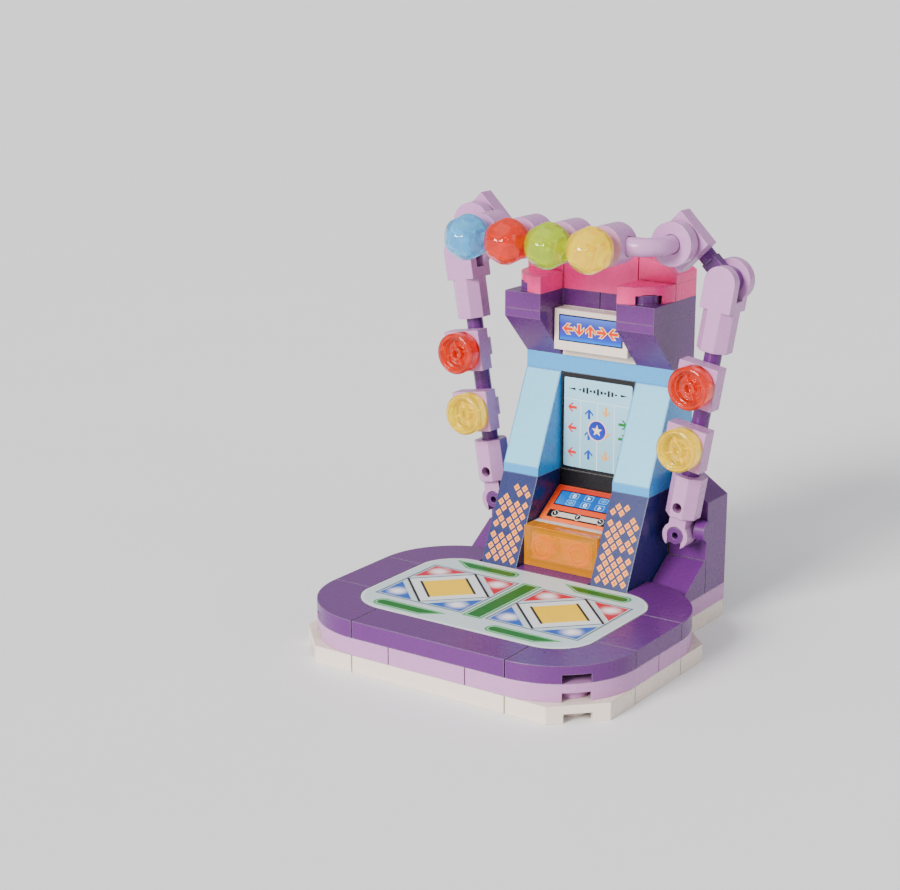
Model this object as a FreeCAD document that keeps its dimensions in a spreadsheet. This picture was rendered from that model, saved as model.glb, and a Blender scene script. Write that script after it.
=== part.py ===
"""Dance rhythm machine, brick-built toy: parametric model in millimetres.

Origin: centre of the footprint on the table. +X right, +Y to the back, +Z up.
Pieces sit on a stud grid. Grid positions run from 0 to 8 studs, left to right and front to back.
Heights are counted in plates.
"""
import FreeCAD, Part
import os
import Sketcher

SIZES = [
    # brick system
    ("pitch", 8.0, "distance between stud centres"),
    ("plate", 3.2, "height of one plate"),
    ("gap", 0.1, "side clearance of every piece to its grid line"),
    ("wall", 1.4, "side wall of a moulded piece"),
    ("thin_wall", 0.75, "wall of a curved piece, and any other thin wall"),
    ("roof", 1.0, "top wall of a moulded piece"),
    ("stud_radius", 2.4, "stud"),
    ("stud_height", 1.7, "stud"),
    ("stud_room", 0.1, "room between a stud and what it fits in"),
    ("lip", 1.6, "upright edge at the foot of a slope"),
    ("slope_flat", 0.5, "flat along the top edge of a slope"),
    ("notch_width", 5.0, "notch in the foot of a curved wall"),
    ("notch_height", 1.6, "notch in the foot of a curved wall"),
    ("panel", 1.6, "thickness of the upright plate of the bracket"),
    ("side_stud_rise", 1.75, "side stud above the foot of its brick, in plates"),
    ("curve_rise", 4.2, "height of the curved pink slope"),
    # side pin and arm
    ("bar_radius", 1.59, "bars and the pins that clips hold"),
    ("fit", 0.1, "room between a bar and its clip or cup"),
    ("standoff", 3.6, "wall face to the middle plane of the arm"),
    ("flange_radius", 3.0, "flange of the side pin"),
    ("flange_width", 1.3, "flange of the side pin"),
    ("pin_bore", 0.65, "hole in the front end of the side pin"),
    ("peg_length", 4.0, "part of the side pin inside the wall brick"),
    ("knob_radius", 1.9, "knob beside the flange"),
    ("knob_length", 2.1, "knob beside the flange"),
    ("arm_lean", 9.3, "outward lean of each arm in degrees"),
    ("arm_length", 48.6, "base hinge to elbow hinge"),
    ("ring_radius", 2.6, "outside of a clip ring"),
    ("ring_width", 3.4, "width of the clip ring at the foot of the arm"),
    ("mouth", 2.9, "opening of a clip"),
    ("cup_flats", 6.0, "eight-sided cup across flats"),
    ("cup_start", 3.9, "foot of the cup above the base hinge"),
    ("cup_end", 11.9, "rim of the cup above the base hinge"),
    ("cup_floor", 1.0, "floor of the cup"),
    ("drain_radius", 0.95, "small round hole in the cup"),
    ("bar_start", 6.4, "lower end of the arm bar above the base hinge"),
    ("fork_length", 12.7, "lower rim of the fork cup to the elbow hinge"),
    ("bar_seat", 2.5, "part of the arm bar inside the fork cup"),
    ("cheek", 1.85, "thickness of a fork cheek"),
    ("cheek_radius", 3.0, "front cheek"),
    ("back_cheek_radius", 3.9, "back cheek"),
    ("tongue", 2.0, "thickness of the elbow tongue"),
    ("tongue_radius", 2.6, "elbow tongue"),
    ("tongue_room", 0.5, "room between the tongue and the floor of the fork"),
    ("elbow_pin", 1.1, "radius of the elbow pin"),
    ("elbow_room", 0.35, "room around the elbow pin"),
    # lamps
    ("lamp_low", 0.2625, "lower lamp, as a share of the bare bar between cup and fork"),
    ("lamp_high", 0.7542, "upper lamp, as a share of the bare bar between cup and fork"),
    ("clip_width", 3.2, "clip on the back of a tile, along the bar"),
    ("clip_reach", 1.9, "bar centre to the back of the tile"),
    ("round_radius", 3.95, "round lens and collar"),
    ("lens_recess", 2.5, "radius of the recess in the lens"),
    ("lens_depth", 1.9, "depth of the recess in the lens"),
    # gantry
    ("elbow_reach", 9.8, "elbow hinge to the middle of the upper tile"),
    ("elbow_angle", 45.0, "slant of the upper bar in degrees"),
    ("upper_bar_end", 11.4, "elbow hinge to the free end of the upper bar"),
    ("hose_radius", 1.65, "tube of the lamp row"),
    ("hose_bend", 4.4, "bend radius of the tube"),
    ("hose_lead", 6.0, "collar face to the straight run of the tube"),
    ("ball_spacing", 8.43, "distance between the lamp balls"),
    ("ball_radius", 4.15, "lamp ball"),
    ("ball_facet", 3.95, "ball centre to its flat facets"),
    ("ball_gap", 0.35, "ball to its holder"),
    ("holder_radius", 3.7, "round holder behind each ball"),
    ("holder_front", 3.2, "tube centre to the front of the holder"),
    ("holder_back", 2.4, "tube centre to the back of the holder"),
    ("peg_radius", 1.5, "peg that carries the ball"),
    ("peg_reach", 3.2, "part of the peg inside the ball"),
]

doc = FreeCAD.newDocument("DanceMachine")
sheet = doc.addObject("Spreadsheet::Sheet", "Sizes")
for row, (alias, value, note) in enumerate(SIZES, 1):
    sheet.set("A%d" % row, note)
    sheet.set("B%d" % row, str(value))
    sheet.setAlias("B%d" % row, alias)
doc.recompute()

NODES = []
HOLLOW = "max(plate - roof; stud_height + stud_room)"
X_AXIS = FreeCAD.Vector(1, 0, 0)
Y_AXIS = FreeCAD.Vector(0, 1, 0)
Z_AXIS = FreeCAD.Vector(0, 0, 1)


def size(text):
    """Expression with every alias read from the sheet."""
    words = {alias for alias, _, _ in SIZES}
    out = ""
    word = ""
    for letter in str(text) + " ":
        if letter.isalpha() or letter == "_":
            word += letter
            continue
        out += "Sizes." + word if word in words else word
        out += letter
        word = ""
    return out.strip()


def bind(item, name, text):
    item.setExpression(name, size(text))


def place(item, at, axis=None, angle="0"):
    """Placement bound to the sheet: position, then a turn about one axis."""
    if axis is not None:
        item.Placement = FreeCAD.Placement(FreeCAD.Vector(), FreeCAD.Rotation(axis, 1))
        bind(item, "Placement.Rotation.Angle", angle)
    bind(item, "Placement.Base.x", at[0])
    bind(item, "Placement.Base.y", at[1])
    bind(item, "Placement.Base.z", at[2])
    return item


def box(at, extent):
    item = doc.addObject("Part::Box", "Block")
    bind(item, "Length", extent[0])
    bind(item, "Width", extent[1])
    bind(item, "Height", extent[2])
    return place(item, at)


def rod(at, radius, length, along="z"):
    """Cylinder from a point along +X, +Y or +Z."""
    item = doc.addObject("Part::Cylinder", "Rod")
    bind(item, "Radius", radius)
    bind(item, "Height", length)
    if along == "x":
        return place(item, at, Y_AXIS, "90")
    if along == "y":
        return place(item, at, X_AXIS, "-90")
    return place(item, at)


def octagon(at, flats, length):
    item = doc.addObject("Part::Prism", "Octagon")
    item.Polygon = 8
    bind(item, "Circumradius", "(%s) / 2 / cos(22.5)" % flats)
    bind(item, "Height", length)
    return place(item, at, Z_AXIS, "22.5")


def fuse(parts):
    if len(parts) == 1:
        return parts[0]
    item = doc.addObject("Part::MultiFuse", "Union")
    item.Shapes = parts
    item.Refine = True
    return item


def cut(base, tools):
    if not tools:
        return base
    item = doc.addObject("Part::Cut", "Difference")
    item.Base = base
    item.Tool = fuse(tools)
    return item


def common(parts):
    item = doc.addObject("Part::MultiCommon", "Overlap")
    item.Shapes = parts
    return item


def mirrored(item, normal=X_AXIS, y="0"):
    twin = doc.addObject("Part::Mirroring", "Mirror")
    twin.Source = item
    twin.Normal = normal
    bind(twin, "Base.y", y)
    return twin


def group(parts):
    item = doc.addObject("Part::Compound", "Group")
    item.Links = parts
    return item


def node(label, item):
    item.Label = label
    NODES.append(item)
    return item


def grid(count):
    """Grid line in studs from the left or front edge, as a coordinate."""
    return "(%g) * pitch" % (count - 4)


def level(count):
    return "%g * plate" % count


def span(count, inset="gap"):
    return "%g * pitch - 2 * (%s)" % (count, inset)


def grid_box(cells, floor, height, inset="gap"):
    """Block over a rectangle of cells (x, y, columns, rows), inset from the grid lines."""
    x, y, columns, rows = cells
    corner = (grid(x) + " + " + inset, grid(y) + " + " + inset, floor)
    return box(corner, (span(columns, inset), span(rows, inset), height))


def studs(places, floor):
    return [rod((grid(x + 0.5), grid(y + 0.5), floor), "stud_radius", "stud_height") for x, y in places]


def tubes(places, floor, height):
    """Tubes of the underside, where four cells meet."""
    outer = "(pitch / sqrt(2)) - stud_radius - stud_room"
    made = [rod((grid(x), grid(y), floor), outer, height) for x, y in places]
    bores = [rod((grid(x), grid(y), floor), "stud_radius", height) for x, y in places]
    return made, bores


def cell_list(cells):
    x, y, columns, rows = cells
    return [(x + i, y + j) for i in range(columns) for j in range(rows)]


def inner_corners(cells):
    x, y, columns, rows = cells
    return [(x + i, y + j) for i in range(1, columns) for j in range(1, rows)]


def pins(cells, floor, height):
    """Solid pins in the underside of a piece that is one cell wide."""
    x, y, columns, rows = cells
    radius = "pitch / 2 - stud_radius - stud_room"
    if rows == 1:
        spots = [(x + i, y + 0.5) for i in range(1, columns)]
    else:
        spots = [(x + 0.5, y + j) for j in range(1, rows)]
    return [rod((grid(a), grid(b), floor), radius, height) for a, b in spots]


def brick(cells, floor, plates, with_studs=True):
    """Rectangular plate, tile or brick with a hollow underside."""
    base = level(floor)
    depth = "%g * plate + " % (plates - 1) + HOLLOW
    shell = cut(grid_box(cells, base, level(plates)), [grid_box(cells, base, depth, "gap + wall")])
    parts = [shell]
    bores = []
    if min(cells[2], cells[3]) > 1:
        posts, bores = tubes(inner_corners(cells), base, depth)
        parts += posts
    elif max(cells[2], cells[3]) > 1:
        parts += pins(cells, base, depth)
    if with_studs:
        parts += studs(cell_list(cells), level(floor + plates))
    return cut(fuse(parts), bores)


def profile(points, thickness):
    """Body padded along +X from an outline in the YZ plane. Points are pairs of expressions."""
    body = doc.addObject("PartDesign::Body", "Profile")
    plane = [item for item in body.Origin.OriginFeatures if item.Role == "YZ_Plane"][0]
    sketch = body.newObject("Sketcher::SketchObject", "Outline")
    sketch.AttachmentSupport = (plane, "")
    sketch.MapMode = "FlatFace"
    values = []
    for across, up in points:
        values.append(FreeCAD.Vector(number(across), number(up), 0))
    for i, start in enumerate(values):
        sketch.addGeometry(Part.LineSegment(start, values[(i + 1) % len(values)]))
    for i in range(len(values)):
        sketch.addConstraint(Sketcher.Constraint("Coincident", i, 2, (i + 1) % len(values), 1))
    for i, (across, up) in enumerate(points):
        for kind, text, value in (("DistanceX", across, values[i].x), ("DistanceY", up, values[i].y)):
            if text == "0":
                axis = -2 if kind == "DistanceX" else -1
                sketch.addConstraint(Sketcher.Constraint("PointOnObject", i, 1, axis))
                continue
            at = sketch.addConstraint(Sketcher.Constraint(kind, -1, 1, i, 1, value))
            name = "%s_%d" % ("across" if kind == "DistanceX" else "up", i)
            sketch.renameConstraint(at, name)
            bind(sketch, "Constraints." + name, text)
    pad = body.newObject("PartDesign::Pad", "Pad")
    pad.Profile = sketch
    bind(pad, "Length", thickness)
    body.Tip = pad
    return body


def number(text):
    """Present value of an expression, used to draw an outline before its constraints hold it."""
    return float(sheet.evalExpression(size(text)))


def slope(cells, floor, points, hollows, stud_cells=(), top="0"):
    """Piece with a sloped outline, hollow under the areas given, and studs on top."""
    corner = (grid(cells[0]) + " + gap", grid(cells[1]) + " + gap", floor)
    body = place(profile(points, span(cells[2])), corner)
    depth = "stud_height + stud_room"
    shell = cut(body, [grid_box(area, floor, depth, "gap + wall") for area in hollows])
    return fuse([shell] + studs(stud_cells, top))


def chamfer_block(cells, floor, height, offset):
    """Block that takes off the front left corner along a line one cell from the corner."""
    side = "(pitch + %s)" % offset
    item = box(("0", "0", "0"), ("%s * sqrt(2)" % side, "%s / sqrt(2)" % side, height))
    return place(item, (grid(cells[0]) + " + " + side, grid(cells[1]), floor), Z_AXIS, "135")


def quarter(centre, floor, radius, height):
    """Quarter cylinder towards the front left corner."""
    item = doc.addObject("Part::Cylinder", "Quarter")
    bind(item, "Radius", radius)
    bind(item, "Height", height)
    item.Angle = 90
    return place(item, (grid(centre[0]), grid(centre[1]), floor), Z_AXIS, "180")


def round_corner(cells, floor, height, inset, trim):
    """Rectangle of cells whose front left corner is rounded to a radius of two cells."""
    block = grid_box(cells, floor, height, inset)
    corner = box((grid(cells[0]), grid(cells[1]), floor), ("2 * pitch", "2 * pitch", height))
    arc = quarter((cells[0] + 2, cells[1] + 2), floor, "2 * pitch - (%s)" % trim, height)
    return fuse([cut(block, [corner]), arc])


def diagonal_notch(centre, reach, floor):
    """Slot through the foot of a curved or cut corner, towards the front left."""
    item = box(("0", "0", "0"), (reach, "notch_width", "notch_height"))
    shift = "notch_width / 2 / sqrt(2)"
    at = (grid(centre[0]) + " - " + shift, grid(centre[1]) + " + " + shift, floor)
    return place(item, at, Z_AXIS, "225")


def four_corners(item):
    """The front left piece with its copies at the other corners of the platform."""
    right = mirrored(item)
    return group([item, right, mirrored(item, Y_AXIS, grid(3)), mirrored(right, Y_AXIS, grid(3))])


def both_sides(item):
    return group([item, mirrored(item)])


def upright_tile(cells, floor, face):
    """Tile of one row of cells standing on its long edge, its back against a plane Y = face."""
    x, columns = cells
    outer = box((grid(x) + " + gap", face + " - plate", floor + " + gap"),
                (span(columns), "plate", "pitch - 2 * gap"))
    hollow = box((grid(x) + " + gap + wall", face + " - " + HOLLOW, floor + " + gap + wall"),
                 (span(columns, "gap + wall"), HOLLOW, "pitch - 2 * (gap + wall)"))
    return cut(outer, [hollow])


def side_studs(xs, face, height):
    return [rod((grid(x), face + " - stud_height", height), "stud_radius", "stud_height", "y") for x in xs]


# ---------------------------------------------------------------- white base layer
corner_cells = (0, 0, 2, 2)
outer = cut(grid_box(corner_cells, level(0), "plate"), [chamfer_block(corner_cells, level(0), "plate", "0")])
cavity = cut(grid_box(corner_cells, level(0), HOLLOW, "gap + wall"),
             [chamfer_block(corner_cells, level(0), HOLLOW, "wall * sqrt(2)")])
posts, bores = tubes([(1, 1)], level(0), HOLLOW)
corner_studs = studs([(1, 0), (0, 1), (1, 1)], level(1))
shell = cut(outer, [cavity, diagonal_notch((1, 1), "pitch", level(0))])
node("base_corner_plates", four_corners(cut(fuse([shell] + posts + corner_studs), bores)))
node("base_centre_plate", brick((2, 0, 4, 6), 0, 1))
node("base_side_plates", both_sides(brick((0, 2, 2, 2), 0, 1)))
node("base_back_plate", brick((1, 6, 6, 2), 0, 1))

# ---------------------------------------------------------------- lilac step layer
step_cells = (0, 0, 3, 3)
outer = round_corner(step_cells, level(1), "plate", "gap", "gap")
cavity = round_corner(step_cells, level(1), HOLLOW, "gap + wall", "gap + thin_wall")
posts, bores = tubes([(1, 1), (2, 1), (1, 2), (2, 2)], level(1), HOLLOW)
step_studs = studs([(1, 0), (2, 0), (0, 1), (0, 2), (2, 1), (1, 2), (2, 2)], level(2))
shell = cut(outer, [cavity, diagonal_notch((1, 1), "2 * pitch", level(1))])
node("step_corner_plates", four_corners(cut(fuse([shell] + posts + step_studs), bores)))
node("step_centre_plate", brick((3, 0, 2, 6), 1, 1))
node("step_back_plate", brick((1, 6, 6, 2), 1, 1))

# ---------------------------------------------------------------- dark rim and dance pad
outer = cut(quarter((2, 2), level(2), "2 * pitch - gap", "plate"),
            [rod((grid(2), grid(2), level(2)), "pitch + gap", "plate")])
cavity = cut(quarter((2, 2), level(2), "2 * pitch - gap - thin_wall", HOLLOW),
             [rod((grid(2), grid(2), level(2)), "pitch + gap + thin_wall", HOLLOW)])
inner = grid_box((0, 0, 2, 2), level(2), HOLLOW, "gap + thin_wall")
shell = cut(outer, [common([cavity, inner]), diagonal_notch((1, 1), "2 * pitch", level(2))])
trim = grid_box((0, 0, 2, 2), level(2), "plate")
node("rim_corner_tiles", four_corners(common([shell, trim])))
node("rim_front_tile", brick((2, 0, 4, 1), 2, 1, False))
node("rim_side_tiles", both_sides(brick((0, 2, 1, 2), 2, 1, False)))
node("rim_floor_tile", brick((3, 5, 2, 1), 2, 1, False))

corners = [(2, 2), (6, 2), (2, 4), (6, 4)]
pad_parts = [grid_box((2, 1, 4, 4), level(2), "plate", "0 * gap"), grid_box((1, 2, 6, 2), level(2), "plate", "0 * gap")]
pad_parts += [rod((grid(x), grid(y), level(2)), "pitch", "plate") for x, y in corners]
pad_room = [grid_box((2, 1, 4, 4), level(2), HOLLOW, "gap + thin_wall"),
            grid_box((1, 2, 6, 2), level(2), HOLLOW, "gap + thin_wall")]
pad_edge = common([fuse(pad_parts), grid_box((1, 1, 6, 4), level(2), "plate")])
pad_posts, pad_bores = tubes([(3, 2), (5, 2), (3, 4), (5, 4), (2, 3), (4, 3), (6, 3)], level(2), HOLLOW)
node("dance_pad", cut(fuse([cut(pad_edge, pad_room)] + pad_posts), pad_bores))

# ---------------------------------------------------------------- tower
steep = [("0", "0"), (span(2), "0"), (span(2), "6 * plate"), ("pitch - gap", "6 * plate"), ("0", "lip")]
node("navy_slopes", both_sides(slope((2, 5, 1, 2), level(2), steep, [(2, 5, 1, 2)], [(2, 6)], level(8))))
node("tower_floor_plate", brick((3, 6, 2, 1), 2, 1))
node("tower_back_bricks", group([brick((2, 7, 4, 1), 2, 3), brick((2, 7, 4, 1), 5, 3)]))
node("azure_slopes", both_sides(slope((2, 6, 1, 2), level(8), steep, [(2, 6, 1, 2)], [(2, 7)], level(14))))
node("screen_brick", brick((3, 7, 2, 1), 8, 6))
node("azure_plate", brick((2, 7, 4, 1), 14, 1))

# ---------------------------------------------------------------- control desk
front = grid(6) + " - panel"
panel = box((grid(3) + " + gap", front, level(3) + " + gap"), (span(2), "panel", "pitch - 2 * gap"))
link = box((grid(3) + " + gap", front, level(3) + " + gap"), (span(2), "panel + gap + wall", "plate - gap"))
desk_studs = side_studs([3.5, 4.5], front, level(3) + " + pitch / 2")
node("desk_bracket", fuse([brick((3, 6, 2, 1), 3, 1), panel, link] + desk_studs))
node("desk_lamp_tile", upright_tile((3, 2), level(3), front))
node("desk_riser_plate", brick((3, 6, 2, 1), 4, 1))
cheese = [("0", "0"), (span(1), "0"), (span(1), "2 * plate"), (span(1) + " - slope_flat", "2 * plate"), ("0", "lip")]
node("desk_slope", slope((3, 6, 2, 1), level(5), cheese, [(3, 6, 2, 1)]))

# ---------------------------------------------------------------- head of the tower
overhang = [("pitch", "0"), (span(2), "0"), (span(2), "3 * plate"), ("0", "3 * plate"), ("0", "3 * plate - lip")]
heads = slope((2, 6, 1, 2), level(15), overhang, [(2, 7, 1, 1)], [(2, 6), (2, 7)], level(18))
node("head_slopes", both_sides(heads))
sign_face = grid(7) + " + gap"
sign_height = level(15) + " + side_stud_rise * plate"
node("sign_brick", fuse([brick((3, 7, 2, 1), 15, 3)] + side_studs([3.5, 4.5], sign_face, sign_height)))
node("sign_tile", upright_tile((3, 2), sign_height + " - pitch / 2", sign_face))

crown_cells = [(2, 6, 1, 2), (2, 7, 2, 1)]
crown = fuse([grid_box(cells, level(18), "plate") for cells in crown_cells])
hollow = fuse([grid_box(cells, level(18), HOLLOW, "gap + wall") for cells in crown_cells])
crown = fuse([cut(crown, [hollow])] + studs([(2, 6), (2, 7), (3, 7)], level(19)))
node("crown_corner_plates", both_sides(crown))
room = common([quarter((3, 7), level(19), "pitch - gap - thin_wall", "stud_height + stud_room"),
               grid_box((2, 6, 1, 1), level(19), "stud_height + stud_room", "gap + thin_wall")])
stud_hole = rod((grid(2.5), grid(6.5), level(19)), "stud_radius + stud_room", "stud_height + stud_room")
opening = diagonal_notch((2.5, 6.5), "pitch", level(19))
tile = common([quarter((3, 7), level(19), "pitch - gap", "plate"), grid_box((2, 6, 1, 1), level(19), "plate")])
node("crown_quarter_tiles", both_sides(cut(tile, [room, stud_hole, opening])))
node("crown_plates", both_sides(brick((2, 7, 1, 1), 19, 1)))
node("crown_brick", brick((3, 7, 2, 1), 19, 3, False))
radius = "((pitch - gap) ^ 2 + (curve_rise - lip) ^ 2) / 2 / (curve_rise - lip)"
arch = rod((grid(3), grid(7), level(20) + " + curve_rise - " + radius), radius, "pitch", "y")
curve = cut(grid_box((2, 7, 1, 1), level(20), "curve_rise"),
            [grid_box((2, 7, 1, 1), level(20), "stud_height + stud_room", "gap + wall")])
node("crown_curves", both_sides(common([curve, arch])))

# ---------------------------------------------------------------- side walls
node("wall_front_slopes", both_sides(slope((1, 6, 1, 1), level(2), cheese, [(1, 6, 1, 1)])))
node("wall_plates", both_sides(group([brick((1, 7, 1, 1), 2, 1), brick((1, 7, 1, 1), 3, 1)])))
pin_height = level(4) + " + side_stud_rise * plate"
socket = rod((grid(6.5), grid(7), pin_height), "bar_radius + fit", "gap + wall", "y")
node("wall_bricks", both_sides(cut(brick((6, 7, 1, 1), 4, 3), [socket])))
top = place(profile(cheese, span(1)), (grid(7) + " - gap", grid(7) + " + gap", level(7)), Z_AXIS, "90")
hollow = grid_box((6, 7, 1, 1), level(7), "stud_height + stud_room", "gap + wall")
node("wall_top_slopes", both_sides(cut(top, [hollow])))

# ---------------------------------------------------------------- side pins that carry the arms
hinge_x = grid(6.5)
arm_y = "(3 * pitch + gap - standoff)"
wall_face = "(3 * pitch + gap)"


def side_pin(x, turn):
    """Pin through a clip; its flange stands on the wall and carries a knob."""
    front_end = "-standoff - ring_width / 2"
    shaft = rod(("0", front_end, "0"), "bar_radius", "standoff + ring_width / 2 + peg_length", "y")
    flange = rod(("0", "-flange_width", "0"), "flange_radius", "flange_width", "y")
    reach = "min(knob_length; side_stud_rise * plate - flange_radius - gap)"
    knob = rod(("flange_radius", "-knob_radius", "0.8"), "knob_radius", reach, "x")
    root = box(("1", "-flange_width", "0"), ("flange_radius", "flange_width", "2"))
    bore = rod(("0", front_end, "0"), "pin_bore", "ring_width", "y")
    return place(cut(fuse([shaft, flange, knob, root]), [bore]), (x, wall_face, pin_height), Y_AXIS, turn)


node("side_pins", group([side_pin(grid(1.5), "90"), side_pin(hinge_x, "0")]))

# ---------------------------------------------------------------- arms
hinge_z = "(%s)" % pin_height


def on_arm(item, along):
    """Places a piece on the right arm, at a distance from the base hinge."""
    at = ("%s + (%s) * sin(arm_lean)" % (hinge_x, along), arm_y, "%s + (%s) * cos(arm_lean)" % (hinge_z, along))
    return place(item, at, Y_AXIS, "arm_lean")


def pair(name, item):
    node(name + "_right", item)
    node(name + "_left", mirrored(item))


half_ring = "-ring_width / 2"
ring = rod(("0", half_ring, "0"), "ring_radius", "ring_width", "y")
neck = box(("-0.65 * ring_radius", half_ring, "bar_radius"), ("1.3 * ring_radius", "ring_width", "cup_start"))
cup = octagon(("0", "0", "cup_start"), "cup_flats", "cup_end - cup_start")
clip_bore = rod(("0", half_ring, "0"), "bar_radius + fit", "ring_width", "y")
mouth = box(("-mouth / 2", half_ring, "-ring_radius"), ("mouth", "ring_width", "ring_radius"))
cup_bore = rod(("0", "0", "cup_start + cup_floor"), "bar_radius + fit", "cup_end - cup_start")
drain = rod(("0", "-cup_flats / 2", "cup_start + cup_floor + drain_radius"), "drain_radius", "cup_flats / 2", "y")
pair("arm_cup", on_arm(cut(fuse([ring, neck, cup]), [clip_bore, mouth, cup_bore, drain]), "0"))
bar_length = "arm_length - fork_length + bar_seat - bar_start"
pair("arm_bar", on_arm(rod(("0", "0", "0"), "bar_radius", bar_length), "bar_start"))

fork_top = "(arm_length - tongue_radius - tongue_room)"
fork_foot = "(arm_length - fork_length)"
cup = octagon(("0", "0", fork_foot), "cup_flats", fork_top + " - " + fork_foot)
cheek_foot = "(%s - 2)" % fork_top
cheek_rise = "arm_length - " + cheek_foot
front_cheek = [rod(("0", "-cup_flats / 2", "arm_length"), "cheek_radius", "cheek", "y"),
               box(("-cheek_radius", "-cup_flats / 2", cheek_foot), ("2 * cheek_radius", "cheek", cheek_rise))]
back_y = "cup_flats / 2 - cheek"
back_cheek = [rod(("0", back_y, "arm_length"), "back_cheek_radius", "cheek", "y"),
              box(("-cheek_radius", back_y, cheek_foot), ("2 * cheek_radius", "cheek", cheek_rise))]
pin = rod(("0", "-cup_flats / 2 + 0.5", "arm_length"), "elbow_pin", "cup_flats - 1", "y")
bore = rod(("0", "0", fork_foot), "bar_radius + fit", "bar_seat + fit")
pair("arm_fork", on_arm(cut(fuse([cup] + front_cheek + back_cheek + [pin]), [bore]), "0"))


# ---------------------------------------------------------------- clip tiles and round lamps
def clip_tile():
    """Tile whose clip holds a bar along Z through the origin; the tile stands in front of it."""
    half = "(pitch / 2 - gap)"
    back = "-clip_reach - plate"
    tile = box(("-" + half, back, "-" + half), ("2 * " + half, "plate", "2 * " + half))
    ring = rod(("0", "0", "-clip_width / 2"), "ring_radius", "clip_width")
    inner = "(%s - wall)" % half
    hollow = box(("-" + inner, back, "-" + inner), ("2 * " + inner, HOLLOW, "2 * " + inner))
    bore = rod(("0", "0", "-clip_width / 2"), "bar_radius + fit", "clip_width")
    mouth = box(("-mouth / 2", "0", "-clip_width / 2"), ("mouth", "ring_radius", "clip_width"))
    return cut(fuse([cut(tile, [hollow]), ring]), [bore, mouth])


def lens():
    """Round clear lens plugged into the front of a clip tile."""
    face = "-clip_reach - 2 * plate"
    disc = rod(("0", face, "0"), "round_radius", "plate", "y")
    stud = rod(("0", "-clip_reach - plate", "0"), "stud_radius", "stud_height", "y")
    recess = rod(("0", face, "0"), "lens_recess", "lens_depth", "y")
    inner = cut(rod(("0", face + " + lens_depth / 2", "0"), "0.6 * lens_recess", "lens_depth", "y"),
                [rod(("0", face, "0"), "0.4 * lens_recess", "lens_depth", "y")])
    return fuse([cut(disc, [recess]), stud, inner])


for name, share in (("lower", "lamp_low"), ("upper", "lamp_high")):
    along = "cup_end + (%s - cup_end) * %s" % (fork_foot, share)
    pair("lamp_tile_" + name, on_arm(clip_tile(), along))
    pair("lamp_lens_" + name, on_arm(lens(), along))

# ---------------------------------------------------------------- gantry
elbow_x = "(%s + arm_length * sin(arm_lean))" % hinge_x
elbow_z = "(%s + arm_length * cos(arm_lean))" % hinge_z
collar_x = "(%s - elbow_reach * sin(elbow_angle))" % elbow_x
collar_z = "(%s + elbow_reach * cos(elbow_angle))" % elbow_z


def at_elbow(item, along):
    at = ("%s - (%s) * sin(elbow_angle)" % (elbow_x, along), arm_y, "%s + (%s) * cos(elbow_angle)" % (elbow_z, along))
    return place(item, at, Y_AXIS, "-elbow_angle")


bar_foot = "(back_cheek_radius + tongue_room)"
disc = rod(("0", "-tongue / 2", "0"), "tongue_radius", "tongue", "y")
blade = box(("-bar_radius", "-tongue / 2", "0"), ("2 * bar_radius", "tongue", bar_foot + " + 0.5"))
bar = rod(("0", "0", bar_foot), "bar_radius", "upper_bar_end - " + bar_foot)
bore = rod(("0", "-tongue / 2", "0"), "elbow_pin + elbow_room", "tongue", "y")
node("gantry_elbows", both_sides(at_elbow(cut(fuse([disc, blade, bar]), [bore]), "0")))
node("gantry_tiles", both_sides(at_elbow(clip_tile(), "elbow_reach")))

face = "-clip_reach - 2 * plate"
collar = [rod(("0", face, "0"), "round_radius", "0.75 * plate", "y"),
          rod(("0", face, "0"), "round_radius - thin_wall", "plate", "y"),
          rod(("0", "-clip_reach - plate", "0"), "stud_radius", "stud_height", "y")]
mouth = rod(("0", face, "0"), "hose_radius + fit", "0.75 * plate", "y")
node("gantry_collars", both_sides(at_elbow(cut(fuse(collar), [mouth]), "elbow_reach")))

collar_face = "(%s - clip_reach - 2 * plate)" % arm_y
row_y = "(%s - hose_lead)" % collar_face
run = "(%s - hose_bend)" % collar_x
straight = rod(("0", row_y, collar_z), "hose_radius", run, "x")
bend = doc.addObject("Part::Torus", "Bend")
bind(bend, "Radius1", "hose_bend")
bind(bend, "Radius2", "hose_radius")
bend.Angle3 = 90
bend = place(bend, (run, row_y + " + hose_bend", collar_z), Z_AXIS, "-90")
tail_length = "hose_lead - hose_bend + 0.75 * plate - fit"
tail = rod((collar_x, row_y + " + hose_bend", collar_z), "hose_radius", tail_length, "y")
half = fuse([straight, bend, tail])
node("gantry_hose", fuse([half, mirrored(half)]))

holder_y = "(%s - holder_front)" % row_y
ball_y = "(%s - ball_gap - ball_radius)" % holder_y
holders = []
for count in (-1.5, -0.5, 0.5, 1.5):
    x = "%g * ball_spacing" % count
    holder = rod((x, holder_y, collar_z), "holder_radius", "holder_front + holder_back", "y")
    channel = rod((x + " - ball_spacing", row_y, collar_z), "hose_radius + fit", "2 * ball_spacing", "x")
    peg = rod((x, holder_y + " - ball_gap - peg_reach", collar_z), "peg_radius", "ball_gap + peg_reach", "y")
    holders.append(fuse([cut(holder, [channel]), peg]))
node("lamp_holders", group(holders))


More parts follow.
